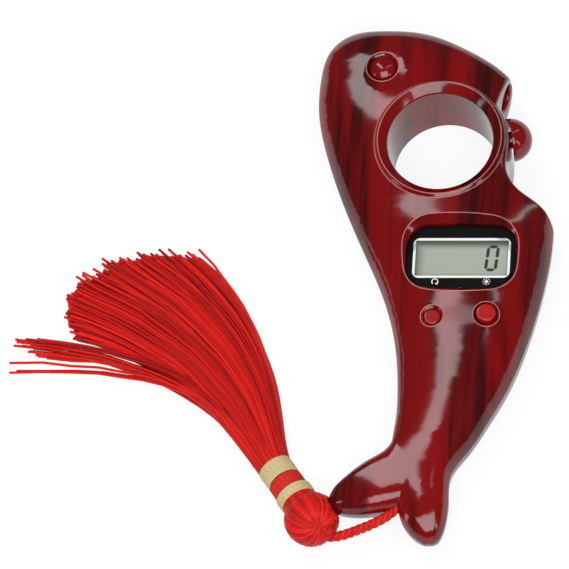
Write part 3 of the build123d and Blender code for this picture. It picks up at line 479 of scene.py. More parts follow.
@dataclass(frozen=True)
class ClearCover:
    """Clear moulding that shows what is behind it under a thin reflection."""

    name: str
    colour: Colour
    body: float
    roughness: float = 0.03

    IOR = 1.49
    GLOSS_SHARE = 0.9
    SMEAR = (4 * MM, 1.5 * MM, 4 * MM)
    SMEAR_SHARE = 0.04

    def material(self) -> bpy.types.Material:
        """Builds the finish as a see-through layer under one that reflects only outwards."""
        shader = Shader(self.name)
        smear = shader.noise(self.SMEAR, 3.0)
        roughness = self.roughness + self.SMEAR_SHARE * smear
        shader.dress(Base_Color=self.colour, Roughness=roughness, IOR=self.IOR)
        gloss = shader.node("ShaderNodeFresnel", {}, {"IOR": self.IOR})
        inside = shader.node("ShaderNodeNewGeometry", output="Backfacing")
        share = (gloss * self.GLOSS_SHARE * (1 - inside) + self.body).least(1.0)
        clear = shader.node("ShaderNodeBsdfTransparent")
        shader.close(shader.blend(share, clear, shader.lit))
        return shader.material


@dataclass(frozen=True)
class SilkThread:
    """Shiny twisted thread, a little different from strand to strand, with painted shade along each twist."""

    name: str
    deep: Colour
    bright: Colour
    roughness: float = 0.4
    fibre: float = 0.16 * MM

    SHADE_SHARE = 0.75
    TWIST_SHADE_SHARE = 0.1
    FUZZ_SHARE = 0.25
    OFFSET = 0.08
    TURN_FIBRES = 5
    ROUGHNESS_SHARE = 0.2
    RELIEF = 0.12
    RELIEF_TWIST = 0.6
    RELIEF_FUZZ = 0.4
    SHEEN = {"Sheen_Weight": 0.02, "Sheen_Roughness": 0.4, "Specular_IOR_Level": 0.22}

    def material(self) -> bpy.types.Material:
        """Builds the finish from the shade and the length that each strand carries."""
        shader = Shader(self.name)
        shade = shader.carried("shade")
        along = shader.carried("along")
        twist = (along * (math.tau / (self.fibre * self.TURN_FIBRES))).wave() * 0.5 + 0.5
        fuzz = shader.noise((self.fibre,) * 3, 3.0)
        # the twist's wave also lightens and darkens the colour: painted shade along the twist
        varied = shade * self.SHADE_SHARE + self.TWIST_SHADE_SHARE * twist + self.FUZZ_SHARE * fuzz
        share = (varied - self.OFFSET).least(1.0)
        colour = shader.mix(share, self.deep, self.bright)
        shader.dress(Base_Color=colour, Roughness=self.roughness + self.ROUGHNESS_SHARE * fuzz, **self.SHEEN)
        shader.bump(twist * self.RELIEF_TWIST + fuzz * self.RELIEF_FUZZ, self.fibre * self.RELIEF)
        return shader.material


class StrandTree(Graph):
    """Geometry Nodes that turn polylines into round strands with a seeded waver."""

    SOCKETS = (
        ("Radius", "NodeSocketFloat"),
        ("Sides", "NodeSocketInt"),
        ("Waver", "NodeSocketFloat"),
        ("Waver Length", "NodeSocketFloat"),
        ("Seed", "NodeSocketInt"),
        ("Finish", "NodeSocketMaterial"),
    )
    SEED_STEP = 1.37

    def __init__(self) -> None:
        tree = bpy.data.node_groups.new("round_strands", "GeometryNodeTree")
        super().__init__(tree)
        tree.interface.new_socket("Paths", in_out="INPUT", socket_type="NodeSocketGeometry")
        self.keys: dict[str, str] = {}
        for name, kind in self.SOCKETS:
            self.keys[name] = tree.interface.new_socket(name, in_out="INPUT", socket_type=kind).identifier
        tree.interface.new_socket("Strands", in_out="OUTPUT", socket_type="NodeSocketGeometry")
        entry = tree.nodes.new("NodeGroupInput")
        given = {socket.name: Socket(self, socket) for socket in entry.outputs if socket.name}
        curves = self.node("GeometryNodeMeshToCurve", {}, {"Mesh": given["Paths"]})
        offset = self.waver(given)
        moved = self.node("GeometryNodeSetPosition", {}, {"Geometry": curves, "Offset": offset})
        circle = {"Resolution": given["Sides"], "Radius": given["Radius"]}
        profile = self.node("GeometryNodeCurvePrimitiveCircle", {}, circle)
        inputs = {"Curve": moved, "Profile Curve": profile, "Fill Caps": True}
        tubes = self.node("GeometryNodeCurveToMesh", {}, inputs)
        smooth = self.node("GeometryNodeSetShadeSmooth", {}, {"Geometry": tubes})
        real = self.node("GeometryNodeRealizeInstances", {}, {"Geometry": smooth})
        finished = self.node("GeometryNodeSetMaterial", {}, {"Geometry": real, "Material": given["Finish"]})
        leave = tree.nodes.new("NodeGroupOutput")
        self.feed(leave.inputs[0], finished)

    def waver(self, given: Mapping[str, Socket]) -> Socket:
        """How far each point moves aside, level with the table.

        Args:
            given: the tree's inputs by name.

        Returns:
            The offset.
        """
        place = self.node("GeometryNodeInputPosition")
        steps = self.node("ShaderNodeCombineXYZ", {}, dict.fromkeys(range(3), given["Waver Length"]))
        spread = self.vector("DIVIDE", place, steps)
        inputs = {"Vector": spread, "W": given["Seed"] * self.SEED_STEP, "Scale": 1.0, "Detail": 1.0}
        random = self.node("ShaderNodeTexNoise", {"noise_dimensions": "4D"}, inputs, "Color")
        slack = self.node("GeometryNodeInputNamedAttribute", {"data_type": "FLOAT"}, {"Name": "slack"})
        level = given["Waver"] * slack
        reach = self.node("ShaderNodeCombineXYZ", {}, {0: level, 1: level, 2: 0.0})
        return self.vector("MULTIPLY", self.vector("SUBTRACT", random, (0.5, 0.5, 0.5)), reach)

    def grow(
        self,
        piece: bpy.types.Object,
        finish: bpy.types.Material,
        radius: float,
        sides: int,
        seed: int = 1,
        waver: float = 0.0,
        waver_length: float = 1.0,
    ) -> None:
        """Replaces a piece's polylines by strands.

        Args:
            piece: the object that holds the polylines.
            finish: the strands' material.
            radius: a strand's radius, in millimetres.
            sides: how many sides a strand has.
            seed: which waver is drawn.
            waver: how far a loose end strays, in millimetres.
            waver_length: distance over which the waver changes, in millimetres.
        """
        modifier = piece.modifiers.new("strands", "NODES")
        modifier.node_group = self.tree
        modifier[self.keys["Radius"]] = radius * MM
        modifier[self.keys["Sides"]] = sides
        modifier[self.keys["Waver"]] = waver * MM
        modifier[self.keys["Waver Length"]] = waver_length * MM
        modifier[self.keys["Seed"]] = seed
        modifier[self.keys["Finish"]] = finish
        piece.update_tag()
        graph = bpy.context.evaluated_depsgraph_get()
        mesh = bpy.data.meshes.new_from_object(
            piece.evaluated_get(graph), preserve_all_data_layers=True, depsgraph=graph
        )
        piece.modifiers.clear()
        piece.data = mesh


def show(name: str, data: bpy.types.ID) -> bpy.types.Object:
    """An object at the origin that holds a mesh or a curve."""
    piece = bpy.data.objects.new(name, data)
    bpy.context.scene.collection.objects.link(piece)
    return piece


def polylines(
    name: str, paths: Sequence[np.ndarray], shades: Sequence[float], slack: float = 0.0
) -> bpy.types.Object:
    """A mesh of open lines for the strand tree.

    Args:
        name: the piece's name.
        paths: points of each line, in metres.
        shades: how bright each line's thread is, from 0 to 1.
        slack: how much of the waver the far ends take.

    Returns:
        The object, whose points carry shade, length along the line and slack.
    """
    points = np.concatenate(paths)
    edges: list[tuple[int, int]] = []
    along, shade, loose = [], [], []
    start = 0
    for path, value in zip(paths, shades):
        count = len(path)
        edges += [(start + i, start + i + 1) for i in range(count - 1)]
        along.append(lengths(path))
        shade.append(np.full(count, value))
        loose.append(slack * np.linspace(0, 1, count) ** SLACK_POWER)
        start += count
    mesh = bpy.data.meshes.new(name)
    mesh.from_pydata(points.tolist(), edges, [])
    for key, parts in (("along", along), ("shade", shade), ("slack", loose)):
        layer = mesh.attributes.new(key, "FLOAT", "POINT")
        layer.data.foreach_set("value", np.concatenate(parts).astype(np.float32))
    return show(name, mesh)


def solid(name: str, vertices: Iterable[Sequence[float]], faces: Iterable[Sequence[int]]) -> bpy.types.Mesh:
    """A mesh with its faces turned outwards.

    Args:
        name: the mesh's name.
        vertices: its points, in metres.
        faces: the numbers of each face's points.

    Returns:
        The mesh.
    """
    mesh = bpy.data.meshes.new(name)
    mesh.from_pydata([tuple(v) for v in vertices], [], [tuple(f) for f in faces])
    work = bmesh.new()
    work.from_mesh(mesh)
    bmesh.ops.recalc_face_normals(work, faces=work.faces)
    work.to_mesh(mesh)
    work.free()
    return mesh


def plates(name: str, outlines: Sequence[Sequence[Spot]], low: float, high: float) -> bpy.types.Mesh:
    """Flat plates between two heights.

    Args:
        name: the mesh's name.
        outlines: each plate's outline, in metres.
        low: height of the underside, in metres.
        high: height of the top, in metres.

    Returns:
        The mesh.
    """
    vertices: list[Place] = []
    faces: list[list[int]] = []
    for outline in outlines:
        count = len(outline)
        start = len(vertices)
        vertices += [(x, y, low) for x, y in outline] + [(x, y, high) for x, y in outline]
        faces.append([start + i for i in reversed(range(count))])
        faces.append([start + count + i for i in range(count)])
        for i in range(count):
            j = (i + 1) % count
            faces.append([start + i, start + j, start + count + j, start + count + i])
    return solid(name, vertices, faces)


def around(centre: Spot, outline: Sequence[Spot]) -> list[Spot]:
    """Places in metres of points that are given by distance and angle from a centre in millimetres."""
    return [((centre[0] + r * math.cos(a)) * MM, (centre[1] + r * math.sin(a)) * MM) for r, a in outline]


def skin(node: str) -> BVHTree:
    """A search tree of a CAD node's surface."""
    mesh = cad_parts[node].data
    return BVHTree.FromPolygons([v.co for v in mesh.vertices], [p.vertices for p in mesh.polygons])


class Body(Enum):
    """The CAD bodies that pieces ride on."""

    CASE = "case"


def settle(piece: bpy.types.Object, node: str | None = None) -> bpy.types.Object:
    """Lets a piece ride on the case.

    Args:
        piece: the piece.
        node: the CAD node that it stands for, if any.

    Returns:
        The piece.
    """
    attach(piece, Body.CASE.value)
    if node:
        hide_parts(node)
    return piece


class Finishes:
    """Every finish of the counter, each made once."""

    RED = tone(121, 8, 12)
    GRAIN = tone(50, 3, 5)
    DISPLAY_CENTRE = (6.66 * MM, 3.31 * MM)
    DISPLAY_WINDOW = (17.8 * MM, 7.5 * MM)
    DISPLAY_HALF = (8.9 * MM, 3.75 * MM)
    PARTING = 7.0 * MM

    def __init__(self) -> None:
        made = [
            MouldedGloss("case_gloss", self.RED, self.GRAIN, parting=self.PARTING),
            MouldedGloss("door_gloss", self.RED, self.GRAIN),
            MouldedGloss("ball_gloss", tone(128, 9, 13), self.GRAIN, grain_share=0.25, roughness=0.09),
            MouldedGloss("eye_gloss", tone(120, 8, 12), self.GRAIN, grain_share=0.2, roughness=0.07),
            # pale pink rim beads: a painted highlight along the shell's crests and edges
            MouldedGloss(
                "rim_painted_highlight",
                tone(190, 112, 112),
                tone(150, 70, 72),
                grain_share=0.2,
                roughness=0.12,
                rounding=0.0,
            ),
            MouldedGloss("reset_gloss", tone(156, 12, 19), tone(112, 6, 10), grain_share=0.3, roughness=0.14),
            MouldedGloss("lamp_gloss", tone(176, 12, 18), tone(140, 7, 11), grain_share=0.3, roughness=0.15),
            ClearCover("lens_clear", tone(6, 6, 7), body=0.0),
            ClearCover("led_clear", tone(205, 208, 205), body=0.30, roughness=0.06),
            PrintedFilm(
                "mask_print",
                self.DISPLAY_CENTRE,
                self.DISPLAY_WINDOW,
                corner=0.85 * MM,
                line=0.47 * MM,
                paper=tone(254, 254, 254),
                ink=tone(9, 9, 10),
            ),
            # the LCD's second colour is painted shade along the window's left side and top
            LiquidCrystal(
                "lcd_glass", tone(170, 180, 165), tone(96, 104, 98), self.DISPLAY_CENTRE, self.DISPLAY_HALF
            ),
            PlainPlastic("digit_ink", tone(34, 38, 36), roughness=0.4, grain=0.1 * MM),
            PlainPlastic("symbol_print", tone(232, 233, 232), roughness=0.45, grain=0.1 * MM, shade=0.08),
            PlainPlastic("strip_rubber", tone(196, 120, 130), roughness=0.6, grain=0.15 * MM),
            BoardLaminate("board_green", tone(18, 84, 44), track=tone(40, 118, 66)),
            PlainPlastic("chip_black", tone(22, 22, 24), roughness=0.35, grain=0.2 * MM),
            PlainPlastic("plunger_black", tone(26, 26, 28), roughness=0.5, grain=0.1 * MM),
            PlainPlastic("contact_rubber", tone(36, 36, 38), roughness=0.7, grain=0.12 * MM),
            BrushedMetal("switch_steel", tone(190, 190, 192)),
            BrushedMetal("cell_steel", tone(205, 205, 206), roughness=0.22),
            BrushedMetal("contact_brass", tone(206, 178, 96)),
            BrushedMetal("screw_steel", tone(176, 176, 180), roughness=0.3),
            SilkThread("cord_red", tone(176, 8, 10), tone(232, 44, 36)),
            SilkThread("yarn_red", tone(152, 2, 3), tone(252, 36, 26), roughness=0.36),
            SilkThread("band_red", tone(170, 8, 8), tone(242, 56, 46), roughness=0.55, fibre=0.2 * MM),
            SilkThread("thread_gold", tone(158, 124, 66), tone(250, 236, 186), roughness=0.5, fibre=0.2 * MM),
        ]
        self.made = {finish.name: finish.material() for finish in made}

    def __getitem__(self, name: str) -> bpy.types.Material:
        """The material of that name."""
        return self.made[name]


@dataclass
class Mechanism:
    """The rigid pieces, which keep their CAD shapes and get their finishes."""

    finishes: Finishes

    PAIRS = {
        "case_gloss": ("front_shell", "rear_shell"),
        "door_gloss": ("battery_door",),
        "ball_gloss": ("count_ball",),
        "eye_gloss": ("eye_bead",),
        "reset_gloss": ("reset_button",),
        "lamp_gloss": ("lamp_button",),
        "lens_clear": ("display_lens",),
        "led_clear": ("torch_led",),
        "mask_print": ("lens_mask",),
        "lcd_glass": ("lcd_panel",),
        "strip_rubber": ("contact_strips",),
        "board_green": ("circuit_board",),
        "chip_black": ("chip_blob",),
        "plunger_black": ("reset_plunger", "lamp_plunger"),
        "contact_rubber": ("count_contact",),
        "switch_steel": ("reset_switch", "lamp_switch"),
        "cell_steel": ("button_cell_upper", "button_cell_lower"),
        "contact_brass": ("contact_positive", "contact_negative", "contact_bridge"),
        "screw_steel": ("board_screws", "door_screw", "case_screws"),
    }

    def dress(self) -> list[bpy.types.Object]:
        """Gives each CAD node its finish."""
        dressed = []
        for finish, nodes in self.PAIRS.items():
            for node in nodes:
                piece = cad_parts[node]
                for slot in piece.material_slots:
                    slot.material = self.finishes[finish]
                dressed.append(piece)
        return dressed


@dataclass
class Housing:
    """The two moulded shells, as copies of their solids with even shading over the long curves."""

    finishes: Finishes
    weld: float = 0.003
    longest: float = 1.2
    cuts: int = 4
    crease: float = 34.0
    keep: float = 7.0
    passes: int = 62

    NODES = ("front_shell", "rear_shell")
    FINISH = "case_gloss"

    def build(self) -> list[bpy.types.Object]:
        """Makes both copies and lets them stand for the solids."""
        pieces = []
        for node in self.NODES:
            mesh = self.refined(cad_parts[node].data, f"{node}_moulded")
            self.even_normals(mesh)
            mesh.materials.clear()
            mesh.materials.append(self.finishes[self.FINISH])
            pieces.append(settle(show(mesh.name, mesh), node))
        return pieces

    def refined(self, source: bpy.types.Mesh, name: str) -> bpy.types.Mesh:
        """A welded copy of a mesh with few long edges.

        Args:
            source: the mesh.
            name: the copy's name.

        Returns:
            The copy.
        """
        work = bmesh.new()
        work.from_mesh(source)
        bmesh.ops.remove_doubles(work, verts=work.verts, dist=self.weld * MM)
        bmesh.ops.dissolve_degenerate(work, edges=work.edges, dist=self.weld * MM)
        for _ in range(self.cuts):
            long = [edge for edge in work.edges if edge.calc_length() > self.longest * MM]
            bmesh.ops.subdivide_edges(work, edges=long, cuts=1)
            bmesh.ops.triangulate(work, faces=work.faces)
        mesh = bpy.data.meshes.new(name)
        work.to_mesh(mesh)
        work.free()
        mesh.shade_smooth()
        return mesh

    def even_normals(self, mesh: bpy.types.Mesh) -> None:
        """Evens out the shading between creases, so that highlights have clean edges.

        Args:
            mesh: a mesh of triangles, which gets its own normals.
        """
        work = bmesh.new()
        work.from_mesh(mesh)
        limit = math.radians(self.crease)
        sharp = [edge for edge in work.edges if edge.calc_face_angle(math.pi) > limit]
        bmesh.ops.split_edges(work, edges=sharp)
        work.verts.index_update()
        corners = np.array([[vertex.index for vertex in face.verts] for face in work.faces])
        places = np.array([vertex.co for vertex in work.verts])
        pairs = np.array([[vertex.index for vertex in edge.verts] for edge in work.edges])
        work.free()
        first, second, third = (places[corners[:, i]] for i in range(3))
        weighted = np.cross(second - first, third - first)
        total = np.zeros_like(places)
        for i in range(3):
            np.add.at(total, corners[:, i], weighted)
        normals = self.evened(total)
        turn = np.arccos(np.clip(np.sum(normals[pairs[:, 0]] * normals[pairs[:, 1]], axis=1), -1, 1))
        pull = np.exp(-((turn / math.radians(self.keep)) ** 2))[:, None]
        ends = np.concatenate((pairs[:, 0], pairs[:, 1]))
        for _ in range(self.passes):
            gained = np.concatenate((pull * normals[pairs[:, 1]], pull * normals[pairs[:, 0]]))
            sums = [np.bincount(ends, part, len(normals)) for part in gained.T]
            normals = self.evened(normals + np.stack(sums, axis=1))
        mesh.normals_split_custom_set(normals[corners.ravel()].tolist())

    def evened(self, vectors: np.ndarray) -> np.ndarray:
        """Each vector at a length of one."""
        return vectors / np.maximum(np.linalg.norm(vectors, axis=1), TINY)[:, None]


@dataclass
class Display:
    """What the display shows, and the plain signs beside its window."""

    finishes: Finishes
    digit_centre: Spot = (12.4, 3.7)
    digit_width: float = 1.86
    digit_height: float = 4.9
    digit_slant: float = 0.09
    stroke: float = 0.62
    gap: float = 0.1
    glass_top: float = 11.2
    lens_top: float = 13.2
    ink: float = 0.012
    reset_sign: Spot = (1.9, -2.2)
    lamp_sign: Spot = (11.8, -2.2)
    sign_radius: float = 0.58
    sign_line: float = 0.11
    arrow_half: float = 0.34
    arrow_reach: float = 0.75
    disc_radius: float = 0.34
    disc_points: int = 20
    rays: int = 8

    ARROW_SWEEP = range(-40, 231, 15)
    RAY = ((0.5, -0.16), (0.78, -0.1), (0.78, 0.1), (0.5, 0.16))

    def build(self) -> list[bpy.types.Object]:
        """Makes the digit and the two signs."""
        digit = plates("lcd_digit", self.segments(), self.glass_top * MM, (self.glass_top + self.ink) * MM)
        signs = plates("lens_signs", self.signs(), self.lens_top * MM, (self.lens_top + self.ink) * MM)
        pieces = []
        for mesh, finish, slot in ((digit, "digit_ink", "lcd_glass"), (signs, "symbol_print", "mask_print")):
            mesh.materials.append(self.finishes[finish])
            pieces.append(settle(show(mesh.name, mesh)))
        return pieces

    def segments(self) -> list[list[Spot]]:
        """Outlines of the six strokes of a nought, in metres."""
        half = self.digit_width / 2
        tall = self.digit_height / 2
        strokes = [
            ((-half, 0.0), (-half, tall)),
            ((-half, -tall), (-half, 0.0)),
            ((half, 0.0), (half, tall)),
            ((half, -tall), (half, 0.0)),
            ((-half, tall), (half, tall)),
            ((-half, -tall), (half, -tall)),
        ]
        return [self.placed(self.stroke_outline(*stroke)) for stroke in strokes]

    def stroke_outline(self, start: Spot, end: Spot) -> list[Spot]:
        """A stroke with mitred ends between two corners of the digit.

        Args:
            start: one corner, in millimetres.
            end: the other corner, in millimetres.

        Returns:
            The stroke's outline, in millimetres.
        """
        way = unit((end[0] - start[0], end[1] - start[1]))
        across = np.array((-way[1], way[0])) * self.stroke / 2
        mitre = way * self.stroke / 2
        first = np.array(start) + way * self.gap
        last = np.array(end) - way * self.gap
        near, far = first + mitre, last - mitre
        corners = (first, near + across, far + across, last, far - across, near - across)
        return [tuple(corner) for corner in corners]

    def placed(self, outline: Sequence[Spot]) -> list[Spot]:
        """A digit's outline slanted and moved to its place, in metres."""
        left, low = self.digit_centre
        return [((left + x + self.digit_slant * y) * MM, (low + y) * MM) for x, y in outline]

    def signs(self) -> list[list[Spot]]:
        """A turning arrow for setting back, and a small shining disc for the lamp."""
        turns = [math.radians(angle) for angle in self.ARROW_SWEEP]
        wide, narrow = self.sign_radius + self.sign_line, self.sign_radius - self.sign_line
        arrow = [[(wide, a), (wide, b), (narrow, b), (narrow, a)] for a, b in zip(turns, turns[1:])]
        tip = turns[0]
        inner, outer = self.sign_radius - self.arrow_half, self.sign_radius + self.arrow_half
        arrow.append([(inner, tip), (outer, tip), (self.sign_radius, tip - self.arrow_reach)])
        lamp = [[(self.disc_radius, math.tau * i / self.disc_points) for i in range(self.disc_points)]]
        for ray in range(self.rays):
            turn = math.tau * ray / self.rays
            lamp.append([(reach, turn + angle) for reach, angle in self.RAY])
        signs = [around(self.reset_sign, outline) for outline in arrow]
        return signs + [around(self.lamp_sign, outline) for outline in lamp]


@dataclass
class Rims:
    """Thin moulded beads on the front shell's edges: at the eye, buttons, ring and display recess, in a pale
    pink that is a painted highlight along each crest.
    """

    finishes: Finishes
    strands: StrandTree
    bead: float = 0.11
    sides: int = 8
    sunk: float = 0.02
    above: float = 30.0
    ring_points: int = 181
    shortest_run: int = 3
    bore: Spot = (1.45, 27.59)
    lip_radii: tuple[float, float] = (12.0, 12.74)
    lip_heights: tuple[float, float] = (14.2, 15.5)
    display: Spot = (6.66, 3.31)
    recess_points: int = 120
    recess_reach: tuple[float, float] = (5.5, 16.0)
    seat_top: float = 13.25
    step: float = 0.04
    slope: float = 0.35
    smoothing: int = 2

    ROUND = ((-10.65, 44.01, 3.2), (1.76, -9.70, 2.25), (12.15, -9.38, 2.55))

    def build(self) -> bpy.types.Object:
        """Lays the beads on the front shell."""
        paths = [run for left, low, radius in self.ROUND for run in self.ring((left, low), radius)]
        paths += [run for radius in self.lip_radii for run in self.ring(self.bore, radius, *self.lip_heights)]
        paths.append(self.recess())
        piece = polylines("rim_highlight_beads", paths, [0.5] * len(paths))
        # the beads' pale pink colour is a painted highlight
        self.strands.grow(piece, self.finishes["rim_painted_highlight"], self.bead, self.sides)
        return settle(piece)

    @cached_property
    def shell(self) -> BVHTree:
        """The front shell's surface."""
        return skin("front_shell")

    def height(self, left: float, low: float) -> float:
        """Height of the shell's outside at a place, or 0 over a hole, in millimetres."""
        found = self.shell.ray_cast(Vector((left, low, self.above)) * MM, Vector((0, 0, -1)))[0]
        return found.z / MM if found else 0.0

    def ring(
        self, centre: Spot, radius: float, lowest: float = 1.0, highest: float = 20.0
    ) -> list[np.ndarray]:
        """Lines on the shell round a centre, broken where it isn't between two heights.

        Args:
            centre: the centre, in millimetres.
            radius: distance from it, in millimetres.
            lowest: height below which the line breaks, in millimetres.
            highest: height above which the line breaks, in millimetres.

        Returns:
            Points of each line, in metres.
        """
        runs: list[list[Place]] = [[]]
        for turn in np.linspace(0, math.tau, self.ring_points):
            left = centre[0] + radius * math.cos(turn)
            low = centre[1] + radius * math.sin(turn)
            height = self.height(left, low)
            if lowest < height < highest:
                runs[-1].append((left, low, height - self.sunk))
            elif runs[-1]:
                runs.append([])
        return [np.array(run) * MM for run in runs if len(run) > self.shortest_run]

    def recess(self) -> np.ndarray:
        """The closed line where the display's sloping recess meets the body, in metres."""
        turns = np.linspace(0, math.tau, self.recess_points + 1)[:-1]
        ways = np.stack((np.cos(turns), np.sin(turns)), axis=1)
        reach = np.arange(*self.recess_reach, self.step)
        edge = np.zeros(len(turns))
        for number, way in enumerate(ways):
            heights = np.array([self.height(*(self.display + way * r)) for r in reach])
            first = int(np.argmax(heights > self.seat_top))
            rising = np.diff(heights[first:]) > self.slope * self.step
            edge[number] = reach[first + int(np.argmin(rising))]
        for _ in range(self.smoothing):
            edge = (np.roll(edge, 1) + edge + np.roll(edge, -1)) / 3
        places = np.array(self.display) + ways * edge[:, None]
        line = [(left, low, self.height(left, low) - self.sunk) for left, low in places]
        return np.array([*line, line[0]]) * MM


@dataclass
class Cord:
    """The twisted cord from the tail's notch to the tassel's head, and its knot inside the tail."""

    finishes: Finishes
    strands: StrandTree
    diameter: float = 1.75
    ply_share: float = 0.6
    lay_share: float = 0.54
    ply_sides: int = 10
    lay: float = 3.9
    length: float = 30.0
    leaves: Place = (-4.1507, -47.3166, 7.0)
    order: int = 3
    resolution: int = 16
    cuts: int = 4
    knot_radius: float = 1.02
    knot_ply: float = 0.44
    knot_sides: int = 8
    knot_reach: float = 1.25
    knot_depth: float = 0.62
    knot_swing: float = 0.45
    knot_room: float = 0.12
    knot_points: int = 73
    knot_shade: float = 0.5

    FINISH = "cord_red"
    PLY_SHADES = (0.55, 0.4, 0.7)
    ROUTE = (
        (0.5493, -42.4166, 7.0),
        (-1.5507, -44.6166, 7.0),
        (-5.0507, -48.2666, 7.0),
        (-8.0507, -50.0666, 6.85),
        (-11.5507, -50.7166, 5.1),
        (-15.1507, -51.6166, 4.1),
        (-18.7507, -51.5166, 4.4),
        (-21.7507, -49.8166, 5.0),
        (-23.5507, -47.3166, 5.1),
    )

    def line(self) -> np.ndarray:
        """Points along the route's smooth spline, in metres."""
        curve = bpy.data.curves.new("cord_route", "CURVE")
        curve.dimensions = "3D"
        spline = curve.splines.new("NURBS")
        spline.points.add(len(self.ROUTE) - 1)
        for point, place in zip(spline.points, self.ROUTE):
            point.co = (*(part * MM for part in place), 1.0)
        spline.order_u = self.order
        spline.use_endpoint_u = True
        spline.resolution_u = self.resolution
        holder = show("cord_route", curve)
        graph = bpy.context.evaluated_depsgraph_get()
        mesh = bpy.data.meshes.new_from_object(holder.evaluated_get(graph), depsgraph=graph)
        points = np.array([vertex.co for vertex in mesh.vertices])
        bpy.data.objects.remove(holder)
        bpy.data.meshes.remove(mesh)
        return points

    def build(self, ends: Sequence[bpy.types.Object]) -> bpy.types.Object:
        """Args:
            ends: the pieces of the tassel that hang on the cord; not used.

        Returns:
            The cord's piece.
        """
        route = self.line()
        piece = polylines("tassel_cord_twist", self.twisted(route), self.PLY_SHADES)
        ply = self.diameter / 2 * self.ply_share
        self.strands.grow(piece, self.finishes[self.FINISH], ply, self.ply_sides)
        settle(piece, "tassel_cord")
        return piece

    def twisted(self, route: np.ndarray) -> list[np.ndarray]:
        """Paths of the plies wound round a line.

        Args:
            route: the line's points, in metres.

        Returns:
            Each ply's points, in metres.
        """
        spans = [np.linspace(a, b, self.cuts + 1)[:-1] for a, b in zip(route, route[1:])]
        dense = np.concatenate([*spans, route[-1:]])
        way = np.gradient(dense, axis=0)
        way /= np.linalg.norm(way, axis=1)[:, None]
        side = np.cross(way, (0, 0, 1))
        side /= np.linalg.norm(side, axis=1)[:, None]
        up = np.cross(side, way)
        along = lengths(dense)
        reach = self.diameter / 2 * self.lay_share * MM
        plies = len(self.PLY_SHADES)
        paths = []
        for ply in range(plies):
            turn = math.tau * (along / (self.lay * MM) + ply / plies)
            paths.append(dense + reach * (np.cos(turn)[:, None] * side + np.sin(turn)[:, None] * up))
        return paths

    def knot(self) -> bpy.types.Object:
        """The overhand knot that keeps the cord in the tail."""
        start = np.array(self.ROUTE[0])
        way = unit(start - np.array(self.ROUTE[1]))
        side = unit(np.cross(way, (0, 0, 1)))
        up = np.cross(side, way)
        turn = np.linspace(0, math.tau, self.knot_points)
        swing = (1 + self.knot_swing * np.cos(3 * turn)) / (1 + self.knot_swing)
        reach = (self.knot_radius - self.knot_ply) * swing + self.knot_room
        across = np.cos(2 * turn) * reach
        rise = np.sin(2 * turn) * reach
        deep = self.knot_reach * self.knot_depth * np.sin(3 * turn)
        middle = start + way * self.knot_reach
        path = middle + across[:, None] * side + rise[:, None] * up + deep[:, None] * way
        piece = polylines("cord_knot_tied", [path * MM], [self.knot_shade])
        self.strands.grow(piece, self.finishes[self.FINISH], self.knot_ply, self.knot_sides)
        return settle(piece, "cord_knot")


@dataclass(frozen=True)
class Ball:
    """Sizes of the tassel's head: two layers of strands folded over a core, in millimetres."""

    radius: float = 5.3
    strand: float = 0.37
    sides: int = 6
    count: int = 42
    inner_depth: float = 0.85
    inner_count: int = 38
    pole: Place = (0.385, -0.612, 0.687)
    dimple: float = 0.17
    dimple_width: float = 0.42
    bound_share: float = 0.93
    points: int = 44
    collar_inset: float = 0.75
    collar_swell: float = 1.02
    lead_in: float = 0.5
    lead_out: float = 0.3
    waver: float = 0.025
    shades: tuple[float, float] = (0.15, 0.95)
    room: float = 0.12
    search: float = 6.0
    seed: int = 3


@dataclass(frozen=True)
class Winding:
    """Sizes of the wound bands, in millimetres."""

    thread: float = 0.22
    sides: int = 7
    pitch: float = 1.75
    turn_points: int = 36
    inset: float = 0.6
    swell: float = 0.015
    swell_power: int = 4
    shade: float = 0.55
    waver: float = 0.06
    waver_length: float = 0.7
    seed: int = 5


@dataclass(frozen=True)
class Fan:
    """Sizes of the skirt's fan of strands, in millimetres and degrees."""

    count: int = 860
    strand: float = 0.27
    sides: int = 5
    points: int = 20
    root_radius: float = 2.85
    root_overlap: float = 1.6
    least_out: float = 0.02
    first_reach: float = 8.5
    first_spread: float = 1.3
    bend_angle: float = 107.0
    bend_reach: float = 26.0
    bend_spread: float = 9.0
    bend_waver: float = 0.8
    bend_height: float = 4.0
    bend_lift: float = 2.6
    bend_lift_waver: float = 0.35
    length: float = 56.8
    length_waver: float = 0.018
    angle: float = 132.8
    right_spread: float = 18.2
    left_spread: float = 10.5
    spread_waver: float = 0.9
    crown: float = -2.0
    right_fall: float = 0.025
    left_fall: float = 0.075
    lock_share: float = 0.065
    lock_side: float = -0.3
    lock_angle: float = 151.3
    lock_angle_waver: float = 0.8
    lock_length: float = 57.5
    lock_length_waver: float = 0.025
    strays: int = 3
    stray_angle: float = 156.5
    stray_turn: float = 0.2
    tip_height: float = 1.9
    tip_lift: float = 1.7
    tip_waver: float = 0.5
    tip_least: float = 0.34
    table_room: float = 0.03
    waver: float = 2.2
    waver_length: float = 8.0
    seed: int = 7


